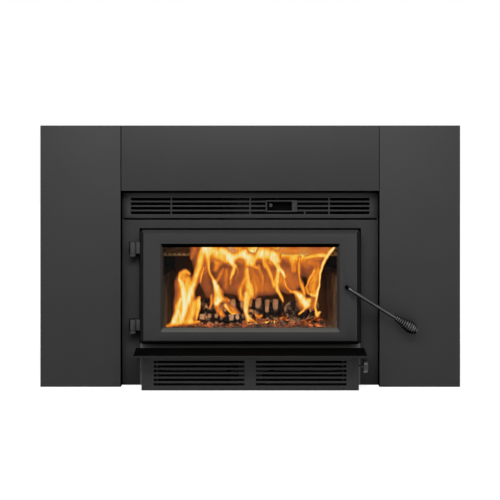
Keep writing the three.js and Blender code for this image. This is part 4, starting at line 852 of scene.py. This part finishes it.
def burning_log(name, node, start, end, radius, pitch, seed, ashen_from=0.0):
    """A rough log with rows of char blocks, one row every pitch. It is ashen past a share of its length."""
    start, end = Vector(start) * mm, Vector(end) * mm
    axis = (end - start).normalized()
    length = (end - start).length
    side = axis.cross(Vector((0, 0, 1))).normalized()
    around = 40
    rings = int(length / ring_gap)
    corners, blocks, faces = [], [], []
    for ring in range(rings + 1):
        share = ring / rings
        rings_passed = 0.4 + share * length / (pitch * mm) + noise.noise((share * 7 + seed, 0.3, 1.7)) * 0.5
        wave = abs(math.sin(math.pi * rings_passed))
        turned = 0.5 + 0.35 * math.sin(5 * math.floor(rings_passed) + seed)
        fade = min(1, share * length / end_taper, (1 - share) * length / end_taper)
        for turn in range(around):
            angle = math.tau * turn / around
            column = abs(math.sin(1.5 * angle + turned))
            block = max(0, min(1, 1.3 - 1.45 * math.hypot(1 - wave, 0.75 * (1 - column))))
            aside, up = math.cos(angle), math.sin(angle)
            rough = noise.fractal((share * 14 + seed, aside * 1.6, up * 1.6), 0.9, 2.1, 4)
            reach = radius * mm * (0.82 + 0.13 * block + 0.05 * rough) * (0.15 + 0.85 * fade ** 0.45)
            corners.append(start.lerp(end, share) + (side * aside + Vector((0, 0, 1)) * up) * reach)
            ashen = 0.62 + 0.38 * max(0, min(1, (share - ashen_from) * 12 + 1))
            blocks.append(max(0, min(1, block + 0.25 * rough)) * (0.6 + 0.4 * fade) * ashen)
    for ring in range(rings):
        for turn in range(around):
            a = ring * around + turn
            b = ring * around + (turn + 1) % around
            faces.append((a, b, b + around, a + around))
    for ring, place in ((0, start), (rings, end)):
        corners.append(place)
        blocks.append(0.62)
        for turn in range(around):
            a = ring * around + turn
            b = ring * around + (turn + 1) % around
            faces.append((a, len(corners) - 1, b) if ring == 0 else (b, len(corners) - 1, a))
    made = bpy.data.meshes.new(name)
    made.from_pydata(corners, [], faces)
    made.attributes.new("block", "FLOAT", "POINT").data.foreach_set("value", blocks)
    shape = bmesh.new()
    shape.from_mesh(made)
    bmesh.ops.recalc_face_normals(shape, faces=shape.faces)
    shape.to_mesh(made)
    shape.free()
    piece = put_in_scene(name, made)
    finish_piece(piece, char, "insert_body")
    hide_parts(node)


burning_log("rear_log", "log_rear", (-160, 205, 185), (96, 192, 185), radius=33, pitch=23, seed=1.0,
            ashen_from=0.36)
burning_log("front_log", "log_front", (-192, 100, 166), (-14, 112, 166), radius=15, pitch=19, seed=4.0)
burning_log("right_log", "log_right", (120, 112, 186), (174, 236, 186), radius=34, pitch=24, seed=7.0)


# ---------------------------------------- ember bed
# Ash with glowing embers on the floor bricks, between and under the logs. It is an uneven bed, and loose
# lumps lie strewn on it.

def glowing(name, dark, cold_share):
    """Ash that is dark up to the cold share of its heat, and then red, orange and yellow."""
    material, tree, place = node_material(name)
    heat = clouds(tree, place, 38, 5, Roughness=0.65)
    ash = clouds(tree, place, 160, 5)
    glows = [
        (cold_share, (0, 0, 0)), (cold_share + 0.08, (0.25, 0.045, 0.008)),
        (cold_share + 0.18, (0.85, 0.2, 0.025)), (cold_share + 0.3, (1.0, 0.62, 0.25)),
    ]
    return finished(
        material,
        Base_Color=ramp(tree, ash, [(0.42, dark), (0.75, (0.3, 0.22, 0.16))]),
        Emission_Color=ramp(tree, heat, glows),
        Emission_Strength=1,
        Normal=relief(tree, ash, 0.7, 1.2 * mm),
        Roughness=0.95,
        Specular_IOR_Level=0.1,
    )


ember_glow = glowing("ember_glow", (0.02, 0.012, 0.008), 0.49)
bed_low, bed_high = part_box("ember_bed")
bed_middle = (bed_low + bed_high) / 2
bed_span = bed_high - bed_low
bed_thickness = 2 * mm
bed_slope = 12 * mm


def bed_of_ash(name, cell=4 * mm, hump=4 * mm):
    """A closed bed over the ember solid's outline, with an uneven top."""
    shape = bmesh.new()
    columns, rows = int(bed_span.x / cell), int(bed_span.y / cell)
    bmesh.ops.create_grid(shape, x_segments=columns, y_segments=rows, size=0.5)
    for corner in shape.verts:
        corner.co.x = bed_middle.x + corner.co.x * bed_span.x
        corner.co.y = bed_middle.y + corner.co.y * bed_span.y
        x, y = corner.co.xy
        inside = min(x - bed_low.x, bed_high.x - x, y - bed_low.y, bed_high.y - y)
        rough = noise.fractal((x * 45, y * 45, 3.1), 0.8, 2.1, 4)
        corner.co.z = bed_high.z + min(1, inside / bed_slope) * hump * (rough - 0.1) - bed_thickness
    made = bpy.data.meshes.new(name)
    shape.to_mesh(made)
    shape.free()
    piece = put_in_scene(name, made)
    thick = piece.modifiers.new("depth", "SOLIDIFY")
    thick.thickness = bed_thickness
    finish_piece(piece, ember_glow, "insert_body")
    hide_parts("ember_bed")


bed_of_ash("ash_bed")

lump_glow = glowing("lump_glow", (0.015, 0.008, 0.005), 0.47)
bed_edge = 20 * mm
lump_sizes = {"Width": bed_span.x - bed_edge, "Depth": bed_span.y - bed_edge, "Lump": 6 * mm,
              "Per Area": 5200.0, "Seed": 11, "Place": (bed_middle.x, bed_middle.y, bed_high.z)}
lump_roughness = 3 * mm


def scattered_lumps():
    """Small rough lumps, strewn at random over a rectangle."""
    tree, sizes = node_tree("scattered_lumps", lump_sizes)
    seed = sizes["Seed"]
    span = {"Size_X": sizes["Width"], "Size_Y": sizes["Depth"]}
    ground = add(tree, "GeometryNodeMeshGrid", **span, Vertices_X=2, Vertices_Y=2)
    spots = add(tree, "GeometryNodeDistributePointsOnFaces", Mesh=ground, Density=sizes["Per Area"], Seed=seed)
    lump = add(tree, "GeometryNodeMeshIcoSphere", Subdivisions=2, Radius=sizes["Lump"])

    def drawn(low, high):
        return add(tree, "FunctionNodeRandomValue", data_type="FLOAT_VECTOR", Min=low, Max=high, Seed=seed)

    turn = drawn((0, 0, 0), 3 * (math.tau,))
    size = drawn((0.5, 0.4, 0.35), (1.7, 1.2, 0.8))
    copies = add(tree, "GeometryNodeInstanceOnPoints", Points=spots, Instance=lump, Rotation=turn, Scale=size)
    whole = add(tree, "GeometryNodeRealizeInstances", Geometry=copies)
    dents = in_order(
        tree,
        "ShaderNodeVectorMath",
        add(tree, "ShaderNodeTexNoise", Scale=260).outputs["Color"],
        3 * (lump_roughness,),
        3 * (-lump_roughness / 2,),
        operation="MULTIPLY_ADD",
    )
    rough = add(tree, "GeometryNodeSetPosition", Geometry=whole, Offset=dents)
    return end_tree(tree, placed(tree, rough, sizes["Place"]), lump_glow)


grown("ember_lumps", scattered_lumps(), lump_sizes, lump_glow, "insert_body")


# ---------------------------------------- flames
# Two thin sheets of burning gas, one from the rear log and one from the front of the fire. Each leans
# forwards as it rises and curls round the front of the baffle. Their tongues are drawn as seen from the
# front, in millimetres.

def burning_gas(name):
    """A glow whose colour and density follow the heat in the attribute warmth, streaked upwards."""
    material, tree, place = node_material(name)
    heat = add(tree, "ShaderNodeAttribute", attribute_name="warmth").outputs["Fac"]
    upwards = add(tree, "ShaderNodeMapping", Vector=place, Scale=(1, 0.2, 0.28))
    streaks = clouds(tree, upwards, 62, 6, Distortion=1.7)
    streak = reckon(tree, "MULTIPLY_ADD", reckon(tree, "SUBTRACT", streaks, 0.5), 1.25, 1.02)
    hot = reckon(tree, "MULTIPLY", heat, streak)
    colours = [
        (0.06, (0.4, 0.1, 0.035)), (0.24, (0.5, 0.12, 0.028)), (0.4, (0.8, 0.2, 0.015)),
        (0.57, (1.0, 0.4, 0.025)), (0.72, (1.0, 0.64, 0.095)), (0.95, (1.0, 0.89, 0.5)),
    ]
    densities = [(0.05, 3 * (0,)), (0.24, 3 * (0.5,)), (0.5, 3 * (0.93,))]
    return finished(
        material,
        Base_Color=(0, 0, 0, 1),
        Emission_Color=ramp(tree, hot, colours),
        Emission_Strength=1,
        Alpha=ramp(tree, hot, densities),
        Roughness=1,
        Specular_IOR_Level=0,
    )


flame_glow = burning_gas("flame_glow")
drawing_depth = 150
sheet_half = 246
sheet_bottom = 138
sheet_top = 368
flame_step = 2.2
soft_edge = 1.9
coldest = 0.07
thickest = 4.5
lean_from = 190
lean_height = 150


def sway(across, up, width, height, seed):
    """A smooth random shift from -1 to 1, in waves of a width and a height."""
    return np.array([[noise.noise((a / width, b / height, seed)) for b in up] for a in across])


def flame_sheet(name, tongues, low_depth, high_depth):
    """A closed thin body from tongues (heat, [(x, z, half width), ...]), thickest where they are hottest."""
    across = np.arange(-sheet_half, sheet_half, flame_step)
    up = np.arange(sheet_bottom, sheet_top, flame_step)
    x, z = np.meshgrid(across, up, indexing="ij")
    seen_x = x + 3.5 * sway(across, up, 24, 40, 0.5) + 2 * sway(across, up, 9, 17, 4.5)
    cool = np.ones_like(x)
    for heat, points in tongues:
        nearest = np.full(x.shape, 9.0)
        for (x0, z0, r0), (x1, z1, r1) in zip(points, points[1:]):
            run, climb = x1 - x0, z1 - z0
            share = np.clip(((seen_x - x0) * run + (z - z0) * climb) / (run * run + climb * climb), 0, 1)
            away = np.hypot(seen_x - x0 - share * run, z - z0 - share * climb)
            nearest = np.minimum(nearest, away / (r0 + share * (r1 - r0)))
        cool *= 1 - heat * np.clip(1 - (nearest / soft_edge) ** 2, 0, 1) ** 2
    hot = 1 - cool
    alight = hot > coldest
    cells = alight[:-1, :-1] & alight[1:, :-1] & alight[:-1, 1:] & alight[1:, 1:]
    count = np.zeros(x.shape, int)
    for column in (0, 1):
        for row in (0, 1):
            count[column:column + cells.shape[0], row:row + cells.shape[1]] += cells
    lift = np.clip((z - lean_from) / lean_height, 0, 1)
    lift = lift * lift * (3 - 2 * lift)
    depth = low_depth(x) * (1 - lift) + high_depth * lift
    half = np.where(count == 4, thickest * np.sqrt(np.clip(hot - coldest, 0, 1)), 0)
    vertices, heats, numbers = [], [], []
    for sign in (-1, 1):
        number = np.full(x.shape, -1)
        for column, row in zip(*np.nonzero(count)):
            if sign == 1 and count[column, row] < 4:
                number[column, row] = numbers[0][column, row]
                continue
            drawn = Vector((x[column, row], drawing_depth, z[column, row])) * mm
            reach = depth[column, row] + sign * half[column, row]
            away = (reach * mm - camera_place.y) / (drawn.y - camera_place.y)
            number[column, row] = len(vertices)
            vertices.append(camera_place + (drawn - camera_place) * away)
            heats.append(hot[column, row])
        numbers.append(number)
    faces = []
    for column, row in zip(*np.nonzero(cells)):
        ring = ((column, row), (column + 1, row), (column + 1, row + 1), (column, row + 1))
        front = tuple(int(numbers[0][corner]) for corner in ring)
        back = tuple(int(numbers[1][corner]) for corner in reversed(ring))
        faces.append(front)
        if set(front) != set(back):
            faces.append(back)
    made = bpy.data.meshes.new(name)
    made.from_pydata(vertices, [], faces)
    made.attributes.new("warmth", "FLOAT", "POINT").data.foreach_set("value", heats)
    piece = put_in_scene(name, made)
    finish_piece(piece, flame_glow, "insert_body")


rear_tongues = [
    # the veil of thin flame over the rear log, and its thicker parts
    (0.15, [(-84, 318, 40), (-20, 322, 44), (60, 318, 44), (150, 325, 34)]),
    (0.17, [(-70, 272, 24), (-10, 268, 28), (60, 270, 28), (118, 285, 24)]),
    (0.17, [(-66, 244, 12), (0, 238, 16), (66, 244, 14)]),
    (0.12, [(0, 300, 18), (24, 270, 20), (34, 246, 12)]),
    (0.16, [(160, 325, 18), (168, 298, 13), (176, 262, 11)]),
    (0.2, [(-150, 340, 16), (-140, 306, 18), (-128, 270, 16), (-118, 232, 12)]),
    (0.28, [(86, 280, 18), (108, 252, 18), (132, 262, 14)]),
    (0.3, [(120, 352, 20), (160, 338, 20), (196, 336, 14)]),
    # the band along the top
    (0.64, [(-120, 360, 16), (-90, 350, 22), (-60, 356, 16)]),
    (0.7, [(-50, 352, 18), (-14, 342, 20), (20, 356, 16)]),
    (0.68, [(30, 352, 20), (62, 342, 22), (92, 356, 14)]),
    (0.34, [(96, 352, 16), (122, 336, 16), (150, 354, 14)]),
    (0.42, [(150, 354, 14), (182, 344, 14), (214, 358, 9)]),
    (0.3, [(118, 344, 9), (124, 318, 8), (122, 296, 5)]),
    (0.35, [(-96, 346, 8), (-92, 318, 8), (-98, 300, 5)]),
    # thin tongues inside the veil
    (0.3, [(-46, 312, 5), (-52, 285, 4), (-56, 260, 3)]),
    (0.22, [(-66, 300, 4), (-70, 275, 5), (-68, 250, 4)]),
    (0.3, [(26, 310, 4), (30, 285, 4), (34, 258, 3)]),
    (0.22, [(8, 262, 7), (12, 240, 8), (10, 222, 6)]),
]

front_tongues = [
    # the broad flame at the left, its hot heart and its foot
    (0.5, [(-212, 152, 9), (-202, 190, 12), (-192, 225, 17), (-189, 258, 19), (-186, 285, 13)]),
    (0.84, [(-188, 186, 3), (-186, 206, 5), (-189, 230, 6.5), (-193, 252, 5.5), (-197, 270, 3)]),
    (0.45, [(-200, 270, 3), (-196, 290, 4), (-184, 296, 4), (-172, 288, 3)]),
    (0.7, [(-217, 152, 4), (-211, 172, 5.5), (-204, 198, 5), (-198, 216, 3)]),
    (0.55, [(-232, 139, 5), (-216, 148, 6), (-192, 151, 7), (-165, 150, 6), (-143, 153, 3)]),
    (0.5, [(-196, 150, 4), (-190, 172, 6), (-184, 192, 5)]),
    (0.42, [(-176, 165, 12), (-168, 200, 13), (-172, 240, 11), (-176, 270, 8)]),
    # the long tongue that leans right, with its bright edge
    (0.72, [(-196, 162, 8), (-184, 195, 8), (-170, 226, 8), (-159, 256, 8), (-150, 286, 8), (-143, 312, 8),
            (-137, 342, 9), (-130, 368, 9)]),
    (0.6, [(-184, 193, 2.6), (-170, 228, 3), (-160, 252, 2.6), (-151, 272, 2)]),
    (0.55, [(-170, 160, 9), (-158, 186, 10), (-152, 206, 8), (-145, 221, 4)]),
    (0.6, [(-151, 160, 3), (-148, 190, 4), (-146, 214, 3)]),
    (0.55, [(-140, 262, 2.4), (-136, 285, 3), (-131, 306, 2)]),
    (0.3, [(-122, 366, 13), (-119, 340, 13), (-122, 312, 8), (-126, 288, 4)]),
    (0.28, [(-158, 366, 8), (-161, 350, 8), (-165, 332, 5)]),
    # the tongue that hangs from the top and flares out
    (0.6, [(-117, 362, 7), (-119, 335, 4.5), (-118, 310, 3.2), (-112, 286, 3.2), (-103, 268, 5)]),
    (0.85, [(-102, 266, 4), (-96, 250, 8), (-91, 236, 11), (-90, 222, 10), (-93, 206, 7)]),
    (0.5, [(-93, 214, 8), (-91, 196, 8), (-85, 180, 7), (-77, 170, 5)]),
    (0.45, [(-112, 226, 4), (-109, 207, 5), (-114, 192, 3)]),
    (0.4, [(-78, 300, 4), (-83, 286, 5), (-90, 273, 5), (-97, 262, 3)]),
    # the mass at the top, left of the middle
    (0.5, [(-118, 362, 14), (-96, 352, 20), (-74, 344, 20), (-56, 328, 15)]),
    (0.5, [(-102, 352, 9), (-86, 336, 8), (-72, 326, 7)]),
    (0.45, [(-80, 350, 9), (-62, 338, 11), (-48, 330, 8)]),
    (0.6, [(-60, 336, 7), (-42, 336, 8), (-24, 342, 7), (-12, 352, 6)]),
    (0.78, [(-76, 354, 6), (-63, 341, 7), (-55, 326, 7), (-46, 309, 5), (-49, 292, 4), (-56, 274, 2.6)]),
    (0.4, [(-40, 312, 4), (-36, 300, 3), (-34, 284, 2)]),
    (0.5, [(-38, 362, 10), (-25, 348, 13), (-10, 334, 14), (3, 322, 9)]),
    # the stream down the middle and its feet
    (0.5, [(-8, 335, 7), (-12, 305, 6), (-13, 280, 5), (-22, 256, 6), (-28, 236, 6), (-24, 216, 6)]),
    (0.62, [(-6, 300, 5), (-5, 262, 7), (-3, 232, 9), (-8, 212, 9), (-12, 195, 7), (-12, 175, 5), (-6, 156, 5),
            (2, 143, 4)]),
    (0.5, [(-12, 232, 4), (-14, 206, 4), (-15, 186, 3.4), (-10, 166, 3), (-2, 149, 3)]),
    (0.4, [(2, 262, 6), (6, 240, 5), (8, 222, 4)]),
    (0.6, [(-8, 168, 2.2), (6, 156, 3), (18, 148, 3.4), (26, 142, 2.6)]),
    (0.62, [(-70, 200, 2.6), (-58, 181, 3), (-42, 171, 3), (-31, 160, 2.8), (-24, 144, 2.6)]),
    (0.45, [(-83, 212, 5), (-70, 216, 6), (-60, 212, 4)]),
    (0.4, [(-66, 198, 9), (-46, 186, 8), (-32, 166, 6)]),
    # the bright mass right of the middle, with two tongues
    (0.82, [(30, 350, 12), (50, 346, 14), (70, 338, 12), (78, 326, 8)]),
    (0.58, [(36, 338, 8), (45, 312, 7), (56, 289, 6), (64, 268, 5), (67, 250, 3)]),
    (0.75, [(62, 330, 6), (76, 312, 5.4), (90, 293, 4.6), (97, 280, 3)]),
    (0.7, [(-12, 338, 8), (8, 331, 11), (24, 340, 9)]),
    (0.5, [(-2, 318, 7), (8, 312, 7), (18, 305, 5)]),
    (0.36, [(24, 306, 3), (28, 285, 3), (33, 262, 2)]),
    (0.72, [(80, 300, 3.4), (78, 280, 6), (75, 258, 5.4), (78, 240, 4.4), (87, 221, 3.6), (92, 208, 2.4)]),
    # the looped tongue over the right log, with its white heart
    (0.58, [(92, 291, 2.6), (95, 270, 2.6), (101, 250, 3), (114, 237, 3.6), (128, 236, 3.6), (138, 230, 5)]),
    (0.3, [(108, 285, 12), (114, 262, 12), (122, 248, 8)]),
    (0.55, [(140, 335, 3.4), (137, 302, 3.4), (140, 276, 4), (147, 252, 4.6), (154, 232, 5)]),
    (0.92, [(142, 224, 6), (150, 212, 9), (158, 203, 9), (167, 214, 5)]),
    (0.45, [(134, 232, 8), (150, 206, 16), (164, 202, 11)]),
    (0.68, [(164, 200, 3.6), (151, 184, 3.2), (136, 174, 2.6)]),
    (0.3, [(174, 228, 4), (180, 206, 4), (176, 186, 3)]),
    # the leaf at the right, and the bright line of its outer edge
    (0.5, [(188, 296, 10), (180, 268, 13), (176, 246, 12), (183, 230, 7)]),
    (0.5, [(180, 297, 2.4), (166, 272, 2.4), (158, 250, 2.4), (166, 232, 2.4), (182, 226, 3)]),
    (0.82, [(240, 366, 3), (226, 348, 4), (213, 330, 4), (204, 310, 4), (199, 284, 3.4), (195, 254, 3),
            (188, 224, 2.8), (184, 195, 2.8), (190, 171, 5), (197, 180, 2.6)]),
    (0.3, [(150, 356, 13), (180, 352, 12), (206, 348, 11), (226, 356, 7)]),
    (0.68, [(160, 334, 4), (185, 339, 5), (210, 340, 5)]),
    (0.35, [(168, 320, 11), (190, 316, 9)]),
    (0.38, [(88, 354, 9), (110, 354, 11), (132, 352, 8)]),
    # low flames on the embers
    (0.8, [(40, 150, 3), (60, 152, 3.6), (80, 151, 3)]),
    (0.5, [(16, 172, 4), (24, 166, 5), (33, 170, 3)]),
]


def rear_foot(x):
    """How deep the rear sheet starts: in front of the rear log, all along."""
    return np.full(x.shape, 150.0)


def front_foot(x):
    """How deep the front sheet starts: before the front log, between the logs, and before the right log."""
    past_front_log = np.clip((x + 100) / 80, 0, 1)
    at_right_log = np.clip((x - 80) / 50, 0, 1)
    return 58 + 75 * past_front_log - 62 * at_right_log


flame_sheet("rear_flames", rear_tongues, rear_foot, 60)
flame_sheet("front_flames", front_tongues, front_foot, 47)
